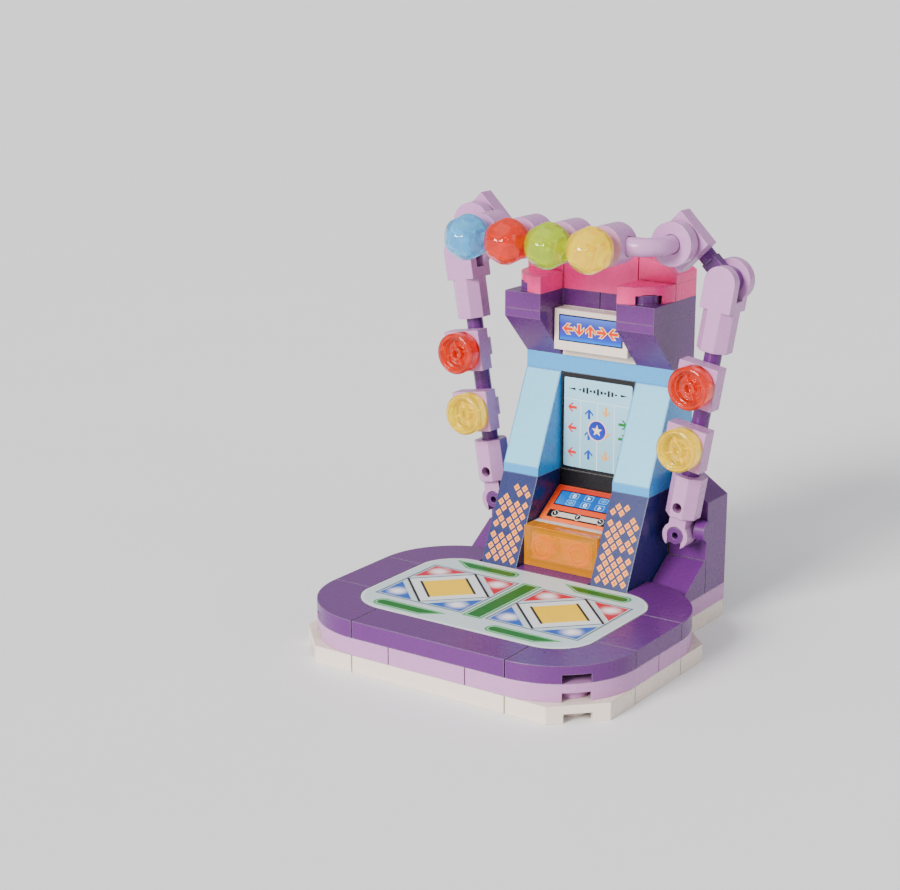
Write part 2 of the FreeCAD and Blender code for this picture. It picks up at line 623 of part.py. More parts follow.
def ball():
    """Faceted ball: a sphere trimmed by cubes turned half a right angle about each axis."""
    sphere = doc.addObject("Part::Sphere", "Sphere")
    bind(sphere, "Radius", "ball_radius")
    cubes = []
    for axis, angle in ((None, "0"), (X_AXIS, "45"), (Y_AXIS, "45"), (Z_AXIS, "45")):
        cube = box(("-ball_facet",) * 3, ("2 * ball_facet",) * 3)
        cubes.append(cube if axis is None else place(group([cube]), ("0", "0", "0"), axis, angle))
    peg_hole = rod(("0", "ball_radius - peg_reach - fit", "0"), "peg_radius + fit", "peg_reach + fit", "y")
    return cut(common([sphere] + cubes), [peg_hole])


for count, name in ((-1.5, "blue"), (-0.5, "orange"), (0.5, "green"), (1.5, "yellow")):
    node("ball_" + name, place(ball(), ("%g * ball_spacing" % count, ball_y, collar_z), Y_AXIS, "20"))

# ---------------------------------------------------------------- checks and files
doc.recompute()
for item in doc.Objects:
    if "Invalid" in item.State or "Error" in item.State:
        raise RuntimeError("%s is in state %s" % (item.Label, item.State))
os.makedirs("parts", exist_ok=True)
for item in NODES:
    shape = item.Shape
    if shape.isNull() or not shape.isValid() or not shape.Solids:
        raise RuntimeError("bad shape: " + item.Label)
for item in NODES:
    item.Shape.exportStep("parts/%s.step" % item.Label)
    print("%-24s %2d solids %9.2f mm3" % (item.Label, len(item.Shape.Solids), item.Shape.Volume))
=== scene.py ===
import math

import bpy
from bpy.props import FloatProperty, FloatVectorProperty, IntProperty, PointerProperty
from mathutils import Matrix, Vector


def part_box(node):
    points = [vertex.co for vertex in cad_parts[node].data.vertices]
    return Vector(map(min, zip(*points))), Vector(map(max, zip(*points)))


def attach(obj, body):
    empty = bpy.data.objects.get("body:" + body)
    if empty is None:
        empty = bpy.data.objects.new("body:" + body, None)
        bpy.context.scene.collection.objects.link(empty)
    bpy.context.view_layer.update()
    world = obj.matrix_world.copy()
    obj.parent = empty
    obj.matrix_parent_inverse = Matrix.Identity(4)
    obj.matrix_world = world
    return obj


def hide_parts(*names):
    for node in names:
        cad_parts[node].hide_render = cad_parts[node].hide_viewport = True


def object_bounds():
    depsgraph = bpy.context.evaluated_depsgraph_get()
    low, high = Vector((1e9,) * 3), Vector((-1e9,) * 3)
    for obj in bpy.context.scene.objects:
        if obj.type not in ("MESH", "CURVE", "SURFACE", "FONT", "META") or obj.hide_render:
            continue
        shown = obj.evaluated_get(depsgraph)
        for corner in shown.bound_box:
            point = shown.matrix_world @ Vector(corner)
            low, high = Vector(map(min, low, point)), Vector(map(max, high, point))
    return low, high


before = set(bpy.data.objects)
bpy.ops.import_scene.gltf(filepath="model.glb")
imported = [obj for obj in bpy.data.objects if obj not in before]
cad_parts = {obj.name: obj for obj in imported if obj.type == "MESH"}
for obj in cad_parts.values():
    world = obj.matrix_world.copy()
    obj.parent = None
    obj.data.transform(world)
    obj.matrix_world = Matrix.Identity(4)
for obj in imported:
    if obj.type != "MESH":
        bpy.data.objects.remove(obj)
CAD_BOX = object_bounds()

bl_info = {
    "name": "Dance Rhythm Machine",
    "version": (1, 0, 0),
    "blender": (4, 5, 0),
    "location": "3D View > Sidebar > Dance Machine",
    "description": "Finishes a brick-built dance machine: moulded plastics, prints, lamps and stage",
    "category": "Object",
}

MM = 0.001


# ------------------------------------------------------------------ colours and nodes
def linear(hex_colour):
    """Linear red, green and blue of an sRGB hex colour."""
    channels = [int(hex_colour[i:i + 2], 16) / 255 for i in (0, 2, 4)]
    return [c / 12.92 if c <= 0.04045 else ((c + 0.055) / 1.055) ** 2.4 for c in channels]


def tint(colour, factor):
    """A lighter or darker version of a linear colour."""
    return [min(1.0, c * factor) for c in colour]


def vivid(colour, push=0.55):
    """A more saturated version of a linear colour, as bright in its strongest channel."""
    peak = max(colour)
    return [c * (c / peak) ** push for c in colour]


def add_node(tree, kind, settings=None, links=None):
    """Add a node, set its attributes or inputs by name, and feed its inputs from sockets."""
    made = tree.nodes.new(kind)
    for name, value in (settings or {}).items():
        if isinstance(name, str) and name in made.bl_rna.properties:
            setattr(made, name, value)
        else:
            made.inputs[name].default_value = value
    for name, socket in (links or {}).items():
        tree.links.new(socket, made.inputs[name])
    return made


def fresh_material(name):
    """A new material, its empty tree, and the object's own coordinates in it."""
    made = bpy.data.materials.new(name)
    made.use_nodes = True
    made.node_tree.nodes.clear()
    return made, made.node_tree, add_node(made.node_tree, "ShaderNodeTexCoord").outputs["Object"]


def finish_surface(tree, settings, links):
    """The principled shader and the output that end every material."""
    shader = add_node(tree, "ShaderNodeBsdfPrincipled", settings, links)
    add_node(tree, "ShaderNodeOutputMaterial", links={"Surface": shader.outputs["BSDF"]})


def rgba(colour):
    return (*colour, 1.0)


def moulded_edge(tree, radius):
    """Rounded normal of a moulded edge, how near a point lies to it, and whether it lies in its seam."""
    rounded_off = add_node(tree, "ShaderNodeBevel", {"samples": 6, "Radius": radius})
    flat = add_node(tree, "ShaderNodeNewGeometry")
    agree = add_node(tree, "ShaderNodeVectorMath", {"operation": "DOT_PRODUCT"},
                     {0: rounded_off.outputs["Normal"], 1: flat.outputs["Normal"]})
    edge = add_node(tree, "ShaderNodeMapRange", {"From Min": 0.998, "From Max": 0.90},
                    {"Value": agree.outputs["Value"]})
    seam = add_node(tree, "ShaderNodeMapRange", {"From Min": 0.88, "From Max": 0.76},
                    {"Value": agree.outputs["Value"]})
    return rounded_off.outputs["Normal"], edge.outputs["Result"], seam.outputs["Result"]


def ink_film(tree, place):
    """Speckle of a screen print, and the normal of its film."""
    # ink speckle is 0.05 mm in life and drawn 0.25 mm wide so that it shows
    speckle = add_node(tree, "ShaderNodeTexNoise", {"Scale": 1 / (0.25 * MM), "Detail": 1.0},
                       {"Vector": place}).outputs["Fac"]
    flat = add_node(tree, "ShaderNodeNewGeometry")
    film = add_node(tree, "ShaderNodeBump", {"Strength": 0.05, "Distance": 0.01 * MM},
                    {"Height": speckle, "Normal": flat.outputs["Normal"]})
    return speckle, film.outputs["Normal"]


# ------------------------------------------------------------------ materials
def moulded_abs(name, colour):
    """ABS, injection moulded in a polished mould: glossy, rounded edges, faint flow marks, a painted highlight
    along its edges and painted shade in the seam beside them.
    """
    material, tree, place = fresh_material(name)
    normal, edge, seam = moulded_edge(tree, 0.24 * MM)
    # flow marks 9 mm long change the shade by a few percent
    flow = add_node(tree, "ShaderNodeTexNoise", {"Scale": 1 / (9 * MM), "Detail": 3.0}, {"Vector": place})
    shade = add_node(tree, "ShaderNodeMix",
                     {"data_type": "RGBA", 6: rgba(tint(colour, 0.98)), 7: rgba(tint(colour, 1.02))},
                     {0: flow.outputs["Fac"]})
    # painted highlight: edges are a little paler; painted shade: the seam beside them is darker
    painted_edge_highlight = add_node(tree, "ShaderNodeMath", {"operation": "MULTIPLY", 1: 0.55}, {0: edge})
    shade = add_node(tree, "ShaderNodeMix", {"data_type": "RGBA", 7: rgba([0.30 + 0.70 * c for c in colour])},
                     {0: painted_edge_highlight.outputs[0], 6: shade.outputs[2]})
    # painted shade in the seam beside each edge
    shaded = add_node(tree, "ShaderNodeMath", {"operation": "MULTIPLY", 1: 0.75}, {0: seam})
    shade = add_node(tree, "ShaderNodeMix", {"data_type": "RGBA", 7: rgba(tint(colour, 0.22))},
                     {0: shaded.outputs[0], 6: shade.outputs[2]})
    # finger marks 3 mm across vary the gloss
    marks = add_node(tree, "ShaderNodeTexNoise", {"Scale": 1 / (3 * MM), "Detail": 4.0, "Roughness": 0.6},
                     {"Vector": place})
    gloss = add_node(tree, "ShaderNodeMapRange", {"To Min": 0.24, "To Max": 0.31},
                     {"Value": marks.outputs["Fac"]})
    # the mould leaves a skin with 0.9 mm ripples
    ripples = add_node(tree, "ShaderNodeTexNoise", {"Scale": 1 / (0.9 * MM)}, {"Vector": place})
    skin = add_node(tree, "ShaderNodeBump", {"Strength": 0.02, "Distance": 0.02 * MM},
                    {"Height": ripples.outputs["Fac"], "Normal": normal})
    finish_surface(tree, {"IOR": 1.53, "Specular IOR Level": 0.36},
                   {"Base Color": shade.outputs[2], "Roughness": gloss.outputs["Result"],
                    "Normal": skin.outputs["Normal"]})
    return material


def clear_abs(name, colour, glow, depth=0.8):
    """Transparent ABS, injection moulded: coloured through, sharp gloss, slight waves inside, a painted glow
    and painted highlights at its rims.
    """
    material, tree, place = fresh_material(name)
    normal, edge, _ = moulded_edge(tree, 0.12 * MM)
    # colour is denser where the melt met, in streaks 4 mm long
    streaks = add_node(tree, "ShaderNodeTexNoise", {"Scale": 1 / (4 * MM), "Detail": 3.0}, {"Vector": place})
    shade = add_node(tree, "ShaderNodeMix",
                     {"data_type": "RGBA", 6: rgba(tint(colour, 0.88)), 7: rgba(tint(colour, 1.1))},
                     {0: streaks.outputs["Fac"]})
    # painted highlight: the rims are mixed towards a paler colour
    rim = [0.03 + 0.97 * c ** 0.8 for c in colour]
    shade = add_node(tree, "ShaderNodeMix", {"data_type": "RGBA", 7: rgba(rim)},
                     {0: edge, 6: shade.outputs[2]}).outputs[2]
    # waves 1.6 mm long bend the light
    waves = add_node(tree, "ShaderNodeTexNoise", {"Scale": 1 / (1.6 * MM), "Detail": 1.0}, {"Vector": place})
    skin = add_node(tree, "ShaderNodeBump", {"Strength": 0.25, "Distance": 0.05 * MM},
                    {"Height": waves.outputs["Fac"], "Normal": normal})
    # painted glow: the piece gives off light of its own colour though it is no lamp, five times as much at its
    # rims
    painted_rim_glow = add_node(tree, "ShaderNodeMapRange", {"To Min": glow, "To Max": 5 * glow}, {"Value": edge})
    finish_surface(tree, {"IOR": 1.54, "Roughness": 0.06, "Specular IOR Level": 0.4,
                          "Transmission Weight": depth},
                   {"Base Color": shade, "Normal": skin.outputs["Normal"], "Emission Color": shade,
                    "Emission Strength": painted_rim_glow.outputs["Result"]})
    return material


def printed_ink(name, colour, sheen=0.40):
    """Screen printed ink: an even satin film with a fine speckle."""
    material, tree, place = fresh_material(name)
    speckle, film = ink_film(tree, place)
    colour = vivid(colour)
    shade = add_node(tree, "ShaderNodeMix",
                     {"data_type": "RGBA", 6: rgba(tint(colour, 0.90)), 7: rgba(tint(colour, 1.02))},
                     {0: speckle})
    # ink lies a little thicker and thinner over 2 mm
    thickness = add_node(tree, "ShaderNodeTexNoise", {"Scale": 1 / (2 * MM)}, {"Vector": place})
    gloss = add_node(tree, "ShaderNodeMapRange", {"To Min": sheen - 0.07, "To Max": sheen + 0.08},
                     {"Value": thickness.outputs["Fac"]})
    finish_surface(tree, {"IOR": 1.5, "Specular IOR Level": 0.28},
                   {"Base Color": shade.outputs[2], "Roughness": gloss.outputs["Result"], "Normal": film})
    return material


def glowing_ink(name, colour, light):
    """Screen printed ink with a printed highlight that fades outwards in halftone steps."""
    material, tree, place = fresh_material(name)
    spot = add_node(tree, "ShaderNodeUVMap", {"uv_map": "glow"})
    away = add_node(tree, "ShaderNodeVectorMath", {"operation": "LENGTH"}, {0: spot.outputs["UV"]})
    # soft patches 1.2 mm wide break the round highlight up
    patches = add_node(tree, "ShaderNodeTexNoise", {"Scale": 1 / (1.2 * MM)}, {"Vector": place})
    uneven = add_node(tree, "ShaderNodeMapRange", {"To Min": -0.16, "To Max": 0.16},
                      {"Value": patches.outputs["Fac"]})
    total = add_node(tree, "ShaderNodeMath", {"operation": "ADD"},
                     {0: away.outputs["Value"], 1: uneven.outputs["Result"]})
    fade = add_node(tree, "ShaderNodeMapRange",
                    {"interpolation_type": "SMOOTHSTEP", "From Min": 0.10, "From Max": 1.0},
                    {"Value": total.outputs[0]})
    shade = add_node(tree, "ShaderNodeMix", {"data_type": "RGBA", 6: rgba(light), 7: rgba(vivid(colour))},
                     {0: fade.outputs["Result"]})
    _, film = ink_film(tree, place)
    finish_surface(tree, {"IOR": 1.5, "Roughness": 0.38, "Specular IOR Level": 0.28},
                   {"Base Color": shade.outputs[2], "Normal": film})
    return material


def shaded_ink(name, stops, along, start, length, side=0.0):
    """Screen printed ink that runs through several colours along one direction of the object."""
    material, tree, place = fresh_material(name)
    run = add_node(tree, "ShaderNodeVectorMath", {"operation": "DOT_PRODUCT", 1: along}, {0: place})
    share = add_node(tree, "ShaderNodeMapRange", {"From Min": start, "From Max": start + length},
                     {"Value": run.outputs["Value"]})
    # the bands drift to and fro over 5 mm
    waver = add_node(tree, "ShaderNodeTexNoise", {"Scale": 1 / (5 * MM), "Detail": 1.0}, {"Vector": place})
    drift = add_node(tree, "ShaderNodeMapRange", {"To Min": -side, "To Max": side},
                     {"Value": waver.outputs["Fac"]})
    total = add_node(tree, "ShaderNodeMath", {"operation": "ADD"},
                     {0: share.outputs["Result"], 1: drift.outputs["Result"]})
    ramp = add_node(tree, "ShaderNodeValToRGB", links={"Fac": total.outputs[0]})
    band = ramp.color_ramp
    while len(band.elements) < len(stops):
        band.elements.new(0.5)
    for element, (position, colour) in zip(band.elements, stops):
        element.position = position
        element.color = rgba(vivid(colour))
    _, film = ink_film(tree, place)
    finish_surface(tree, {"IOR": 1.5, "Roughness": 0.3, "Specular IOR Level": 0.35},
                   {"Base Color": ramp.outputs["Color"], "Normal": film})
    return material


def coated_paper(name, colour):
    """Matt coated paper of a studio floor: even, with a very fine tooth."""
    material, tree, place = fresh_material(name)
    # cloudy patches 60 mm wide
    clouds = add_node(tree, "ShaderNodeTexNoise", {"Scale": 1 / (60 * MM)}, {"Vector": place})
    shade = add_node(tree, "ShaderNodeMix",
                     {"data_type": "RGBA", 6: rgba(tint(colour, 0.985)), 7: rgba(tint(colour, 1.01))},
                     {0: clouds.outputs["Fac"]})
    # paper fibres 0.6 mm long
    fibres = add_node(tree, "ShaderNodeTexNoise", {"Scale": 1 / (0.6 * MM)}, {"Vector": place})
    flat = add_node(tree, "ShaderNodeNewGeometry")
    tooth = add_node(tree, "ShaderNodeBump", {"Strength": 0.04, "Distance": 0.02 * MM},
                     {"Height": fibres.outputs["Fac"], "Normal": flat.outputs["Normal"]})
    finish_surface(tree, {"IOR": 1.45, "Roughness": 0.62},
                   {"Base Color": shade.outputs[2], "Normal": tooth.outputs["Normal"]})
    return material


# ------------------------------------------------------------------ flat outlines, counter-clockwise
def rounded(width, height, radius, steps=6):
    """Rectangle with round corners."""
    points = []
    for quarter, (sx, sy) in enumerate(((1, 1), (-1, 1), (-1, -1), (1, -1))):
        centre = Vector((sx * (width / 2 - radius), sy * (height / 2 - radius)))
        for step in range(steps + 1):
            angle = math.pi / 2 * (quarter + step / steps)
            points.append(centre + radius * Vector((math.cos(angle), math.sin(angle))))
    return points


def circle(radius, steps=48):
    return [Vector((radius * math.cos(2 * math.pi * i / steps), radius * math.sin(2 * math.pi * i / steps)))
            for i in range(steps)]


def rectangle(width, height):
    return [Vector((x * width / 2, y * height / 2)) for x, y in ((1, -1), (1, 1), (-1, 1), (-1, -1))]


def diamond(half_width, half_height):
    return [Vector(p) for p in ((half_width, 0), (0, half_height), (-half_width, 0), (0, -half_height))]


def star(outer, inner, points=5):
    """Star with one point up."""
    corners = []
    for i in range(2 * points):
        angle = math.pi / 2 + math.pi * i / points
        corners.append((outer if i % 2 == 0 else inner) * Vector((math.cos(angle), math.sin(angle))))
    return corners


def arrow(size, shaft=0.20):
    """Arrow that points up."""
    half = shaft / 2
    corners = ((0, 0.5), (-0.46, 0.06), (-0.46, -0.17), (-half, 0.17), (-half, -0.5),
               (half, -0.5), (half, 0.17), (0.46, -0.17), (0.46, 0.06))
    return [size * Vector(p) for p in corners]


def blade(length, height, facing, steps=10):
    """Long bar with one round end and one slanted, pointed end."""
    radius = height / 2
    points = []
    for step in range(steps + 1):
        angle = -math.pi / 2 + math.pi * step / steps
        points.append(Vector((length / 2 - radius + radius * math.cos(angle), radius * math.sin(angle))))
    points += [Vector((-length / 2, radius)), Vector((-length / 2 + 1.5 * height, -radius))]
    if facing < 0:
        points = [Vector((-p.x, p.y)) for p in reversed(points)]
    return points


def inset(outline, distance):
    """Every side of an outline moved inwards by a distance."""
    count = len(outline)
    moved = []
    for i, here in enumerate(outline):
        before = (here - outline[i - 1]).normalized()
        after = (outline[(i + 1) % count] - here).normalized()
        inward = Vector((-before.y, before.x)) + Vector((-after.y, after.x))
        share = 1 + before.dot(after)
        moved.append(here + inward * (distance / max(share, 0.3)))
    return moved


# ------------------------------------------------------------------ meshes
def mesh_from(name, vertices, faces):
    mesh = bpy.data.meshes.new(name)
    mesh.from_pydata(vertices, [], faces)
    mesh.update()
    return mesh


def slab(name, outline, low, high):
    """Closed slab between two heights."""
    count = len(outline)
    vertices = [(p.x, p.y, z) for z in (low, high) for p in outline]
    faces = [tuple(reversed(range(count))), tuple(range(count, 2 * count))]
    faces += [(i, (i + 1) % count, (i + 1) % count + count, i + count) for i in range(count)]
    return mesh_from(name, vertices, faces)


def ring(name, outer, inner, low, high):
    """Closed flat frame between an outer and an inner outline of equally many points."""
    count = len(outer)
    vertices = [(p.x, p.y, z) for line in (outer, inner) for z in (low, high) for p in line]
    faces = []
    for i in range(count):
        j = (i + 1) % count
        bottom, top, hole_bottom, hole_top = 0, count, 2 * count, 3 * count
        faces += [(bottom + i, bottom + j, top + j, top + i), (top + i, top + j, hole_top + j, hole_top + i),
                  (hole_bottom + j, hole_bottom + i, hole_top + i, hole_top + j),
                  (bottom + j, bottom + i, hole_bottom + i, hole_bottom + j)]
    return mesh_from(name, vertices, faces)


def turned(name, profile, steps=64):
    """Solid of revolution about Z. The profile is (radius, height) from the top pole to the bottom pole."""
    vertices, rows = [], []
    for radius, height in profile:
        if radius == 0:
            rows.append([len(vertices)] * steps)
            vertices.append((0, 0, height))
        else:
            rows.append(list(range(len(vertices), len(vertices) + steps)))
            vertices += [(p.x, p.y, height) for p in circle(radius, steps)]
    faces = []
    for upper, lower in zip(rows, rows[1:]):
        for i in range(steps):
            j = (i + 1) % steps
            corners = [upper[i], lower[i], lower[j], upper[j]]
            faces.append(tuple(dict.fromkeys(corners)))
    mesh = mesh_from(name, vertices, faces)
    mesh.shade_smooth()
    mesh.set_sharp_from_angle(angle=math.radians(40))
    return mesh


def unit_sphere(segments, rings):
    """Sphere of radius 1, faces outwards, poles closed."""
    arc = [(math.sin(math.pi * i / rings), math.cos(math.pi * i / rings)) for i in range(1, rings)]
    return turned("sphere", [(0, 1), *arc, (0, -1)], segments)


def soft_corner(points, radius, steps=3):
    """Profile whose corners are rounded by short arcs."""
    out = [points[0]]
    for before, here, after in zip(points, points[1:], points[2:]):
        here, before, after = Vector(here), Vector(before), Vector(after)
        reach = min(radius, (before - here).length / 2.2, (after - here).length / 2.2)
        start = here + (before - here).normalized() * reach
        end = here + (after - here).normalized() * reach
        for step in range(steps + 1):
            t = step / steps
            out.append(tuple(start.lerp(here, t).lerp(here.lerp(end, t), t)))
    out.append(points[-1])
    return out


def lay(origin, right, up):
    """Matrix that lays a flat design, x right, y up and z out, on a face."""
    matrix = Matrix((right, up, Vector(right).cross(up))).transposed().to_4x4()
    matrix.translation = origin
    return matrix


def upright(x, y, z):
    """Matrix that lays a design on an upright face, as seen from the front."""
    return lay(Vector((x, y, z)), Vector((1, 0, 0)), Vector((0, 0, 1)))


def on_slope(left, right, foot, head):
    """Length of a slanting face, and the matrix that lays a design on its middle."""
    up = Vector((0, head.y - foot.y, head.z - foot.z))
    middle = Vector(((left + right) / 2, (foot.y + head.y) / 2, (foot.z + head.z) / 2))
    return up.length, lay(middle, Vector((1, 0, 0)), up.normalized())


def piece(name, mesh, material, body, placing=None):
    """Put a finished mesh in place as an object that rides on a body."""
    if placing is not None:
        mesh.transform(placing)
    mesh.materials.clear()
    mesh.materials.append(material)
    mesh.name = name
    made = bpy.data.objects.new(name, mesh)
    bpy.context.scene.collection.objects.link(made)
    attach(made, body)
    return made


def printer(prefix, placing):
    """Function that puts the prints of one place on the machine, named after that place."""
    def put(name, mesh, material):
        piece(prefix + name, mesh, material, "machine", placing)

    return put


# ------------------------------------------------------------------ geometry nodes
def stamp_tree():
    """Node group that sets a motif on every point, turned and stretched by the point's own values."""
    found = bpy.data.node_groups.get("stamp_on_points")
    if found:
        return found
    tree = bpy.data.node_groups.new("stamp_on_points", "GeometryNodeTree")
    face = tree.interface
    face.new_socket("Points", in_out="INPUT", socket_type="NodeSocketGeometry")
    face.new_socket("Motif", in_out="INPUT", socket_type="NodeSocketObject")
    face.new_socket("Size", in_out="INPUT", socket_type="NodeSocketFloat").default_value = 1.0
    face.new_socket("Material", in_out="INPUT", socket_type="NodeSocketMaterial")
    face.new_socket("Print", in_out="OUTPUT", socket_type="NodeSocketGeometry")
    given = add_node(tree, "NodeGroupInput").outputs
    motif = add_node(tree, "GeometryNodeObjectInfo", {"As Instance": True}, {"Object": given["Motif"]})
    turn = add_node(tree, "GeometryNodeInputNamedAttribute", {"data_type": "FLOAT", "Name": "turn"})
    stretch = add_node(tree, "GeometryNodeInputNamedAttribute", {"data_type": "FLOAT", "Name": "stretch"})
    rotation = add_node(tree, "ShaderNodeCombineXYZ", links={"Z": turn.outputs["Attribute"]})
    tall = add_node(tree, "ShaderNodeCombineXYZ", {"X": 1.0, "Z": 1.0}, {"Y": stretch.outputs["Attribute"]})
    scale = add_node(tree, "ShaderNodeVectorMath", {"operation": "SCALE"},
                     {0: tall.outputs["Vector"], "Scale": given["Size"]})
    stamps = add_node(tree, "GeometryNodeInstanceOnPoints", None,
                      {"Points": given["Points"], "Instance": motif.outputs["Geometry"],
                       "Rotation": rotation.outputs["Vector"], "Scale": scale.outputs["Vector"]})
    solid = add_node(tree, "GeometryNodeRealizeInstances", None, {"Geometry": stamps.outputs["Instances"]})
    inked = add_node(tree, "GeometryNodeSetMaterial", None,
                     {"Geometry": solid.outputs["Geometry"], "Material": given["Material"]})
    add_node(tree, "NodeGroupOutput", None, {"Print": inked.outputs["Geometry"]})
    return tree


def ripple_tree():
    """Node group that makes concentric round ridges, evenly spaced between two radii."""
    found = bpy.data.node_groups.get("concentric_ridges")
    if found:
        return found
    tree = bpy.data.node_groups.new("concentric_ridges", "GeometryNodeTree")
    face = tree.interface
    face.new_socket("Ridges", in_out="INPUT", socket_type="NodeSocketInt").default_value = 2
    for name in ("Inner Radius", "Outer Radius", "Ridge Radius"):
        face.new_socket(name, in_out="INPUT", socket_type="NodeSocketFloat")
    face.new_socket("Material", in_out="INPUT", socket_type="NodeSocketMaterial")
    face.new_socket("Ridge Mesh", in_out="OUTPUT", socket_type="NodeSocketGeometry")
    given = add_node(tree, "NodeGroupInput").outputs
    first = add_node(tree, "ShaderNodeCombineXYZ", links={"X": given["Inner Radius"]})
    last = add_node(tree, "ShaderNodeCombineXYZ", links={"X": given["Outer Radius"]})
    line = add_node(tree, "GeometryNodeMeshLine", {"mode": "END_POINTS"},
                    {"Count": given["Ridges"], "Start Location": first.outputs["Vector"],
                     "Offset": last.outputs["Vector"]})
    where = add_node(tree, "GeometryNodeInputPosition")
    radius = add_node(tree, "ShaderNodeVectorMath", {"operation": "LENGTH"}, {0: where.outputs["Position"]})
    kept = add_node(tree, "GeometryNodeStoreNamedAttribute",
                    {"data_type": "FLOAT", "domain": "POINT", "Name": "radius"},
                    {"Geometry": line.outputs["Mesh"], "Value": radius.outputs["Value"]})
    origin = add_node(tree, "ShaderNodeCombineXYZ")
    centred = add_node(tree, "GeometryNodeSetPosition", None,
                       {"Geometry": kept.outputs["Geometry"], "Position": origin.outputs["Vector"]})
    own = add_node(tree, "GeometryNodeInputNamedAttribute", {"data_type": "FLOAT", "Name": "radius"})
    loop = add_node(tree, "GeometryNodeCurvePrimitiveCircle", {"Resolution": 72, "Radius": 1.0})
    loops = add_node(tree, "GeometryNodeInstanceOnPoints", None,
                     {"Points": centred.outputs["Geometry"], "Instance": loop.outputs["Curve"],
                      "Scale": own.outputs["Attribute"]})
    lines = add_node(tree, "GeometryNodeRealizeInstances", None, {"Geometry": loops.outputs["Instances"]})
    section = add_node(tree, "GeometryNodeCurvePrimitiveCircle", {"Resolution": 10},
                       {"Radius": given["Ridge Radius"]})
    swept = add_node(tree, "GeometryNodeCurveToMesh", None,
                     {"Curve": lines.outputs["Geometry"], "Profile Curve": section.outputs["Curve"]})
    inked = add_node(tree, "GeometryNodeSetMaterial", None,
                     {"Geometry": swept.outputs["Mesh"], "Material": given["Material"]})
    add_node(tree, "NodeGroupOutput", None, {"Ridge Mesh": inked.outputs["Geometry"]})
    return tree


def evaluated(tree, base_mesh, inputs):
    """Mesh that a node group makes from a base mesh and named inputs."""
    base = bpy.data.objects.new("base", base_mesh)
    bpy.context.scene.collection.objects.link(base)
    modifier = base.modifiers.new("make", "NODES")
    modifier.node_group = tree
    for item in tree.interface.items_tree:
        if item.item_type == "SOCKET" and item.in_out == "INPUT" and item.name in inputs:
            modifier[item.identifier] = inputs[item.name]
    bpy.context.view_layer.update()
    graph = bpy.context.evaluated_depsgraph_get()
    made = bpy.data.meshes.new_from_object(base.evaluated_get(graph), depsgraph=graph)
    bpy.data.objects.remove(base)
    return made


def stamped(motif_mesh, points, material, size=1.0):
    """Mesh with one motif on each point (x, y, turn in degrees, stretch)."""
    spots = mesh_from("spots", [(p[0], p[1], 0) for p in points], [])
    for name, index, usual in (("turn", 2, 0.0), ("stretch", 3, 1.0)):
        values = [p[index] if len(p) > index else usual for p in points]
        if name == "turn":
            values = [math.radians(v) for v in values]
        spots.attributes.new(name, "FLOAT", "POINT").data.foreach_set("value", values)
    motif_mesh.materials.clear()
    motif_mesh.materials.append(material)
    motif = bpy.data.objects.new("motif", motif_mesh)
    bpy.context.scene.collection.objects.link(motif)
    made = evaluated(stamp_tree(), spots, {"Motif": motif, "Size": size, "Material": material})
    bpy.data.objects.remove(motif)
    return made


# ------------------------------------------------------------------ faces of the frame
def slanting_face(node, side):
    """Foot and head of the slanting front face of a node on one side: (left x, right x, foot, head)."""
    corners = []
    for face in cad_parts[node].data.polygons:
        if face.normal.y < -0.3 and 0.1 < face.normal.z < 0.95 and face.center.x * side >= 0:
            corners += [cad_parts[node].data.vertices[i].co for i in face.vertices]
    foot = min(corners, key=lambda p: p.z)
    head = max(corners, key=lambda p: p.z)
    return min(p.x for p in corners), max(p.x for p in corners), foot, head


def layer(number, settings):
    """Lower and upper height of a print layer above the moulded face."""
    return number * settings.film - 0.2 * settings.film, (number + 1) * settings.film


# ------------------------------------------------------------------ properties
def colour_property(name, description, hex_colour):
    return FloatVectorProperty(name=name, description=description, default=linear(hex_colour),
                               subtype="COLOR", size=3, min=0.0, max=1.0)


def length_property(name, description, millimetres):
    return FloatProperty(name=name, description=description, default=millimetres * MM,
                         unit="LENGTH", precision=5)


class MachineColours(bpy.types.PropertyGroup):
    """Colours of the moulded plastics."""
    white: colour_property("White", "Base plates, sign and desk bracket", "E6D8CA")
    lilac: colour_property("Lilac", "Second layer, arms and lamp row", "B884B6")
    purple: colour_property("Purple", "Rim tiles, walls and crown", "5C266E")
    pad: colour_property("Pad", "Dance pad", "D8DEE0")
    navy: colour_property("Navy", "Lower slopes of the tower", "18245C")
    black: colour_property("Black", "Screen brick and tower core", "101014")
    azure: colour_property("Azure", "Plate over the screen", "3D9CDC")
    pale_azure: colour_property("Pale azure", "Upper slopes of the tower", "7BCAE9")
    pink: colour_property("Pink", "Top of the crown", "FA2E88")
    orange: colour_property("Orange", "Desk slope", "D85020")
    clear_orange: colour_property("Clear orange", "Desk lamp", "FFAA00")
    clear_red: colour_property("Clear red", "Upper lamps and one ball", "F03A08")
    clear_yellow: colour_property("Clear yellow", "Lower lamps and one ball", "FFDC00")
    clear_blue: colour_property("Clear blue", "One ball", "70CCF8")
    clear_green: colour_property("Clear green", "One ball", "C4DC00")


class PrintSizes(bpy.types.PropertyGroup):
    """Sizes that all prints share."""
    film: length_property("Film", "Thickness of one printed layer", 0.03)
    line: length_property("Line", "Width of a thin printed line", 0.32)
    margin: length_property("Margin", "Bare edge round the pad sheet", 0.45)


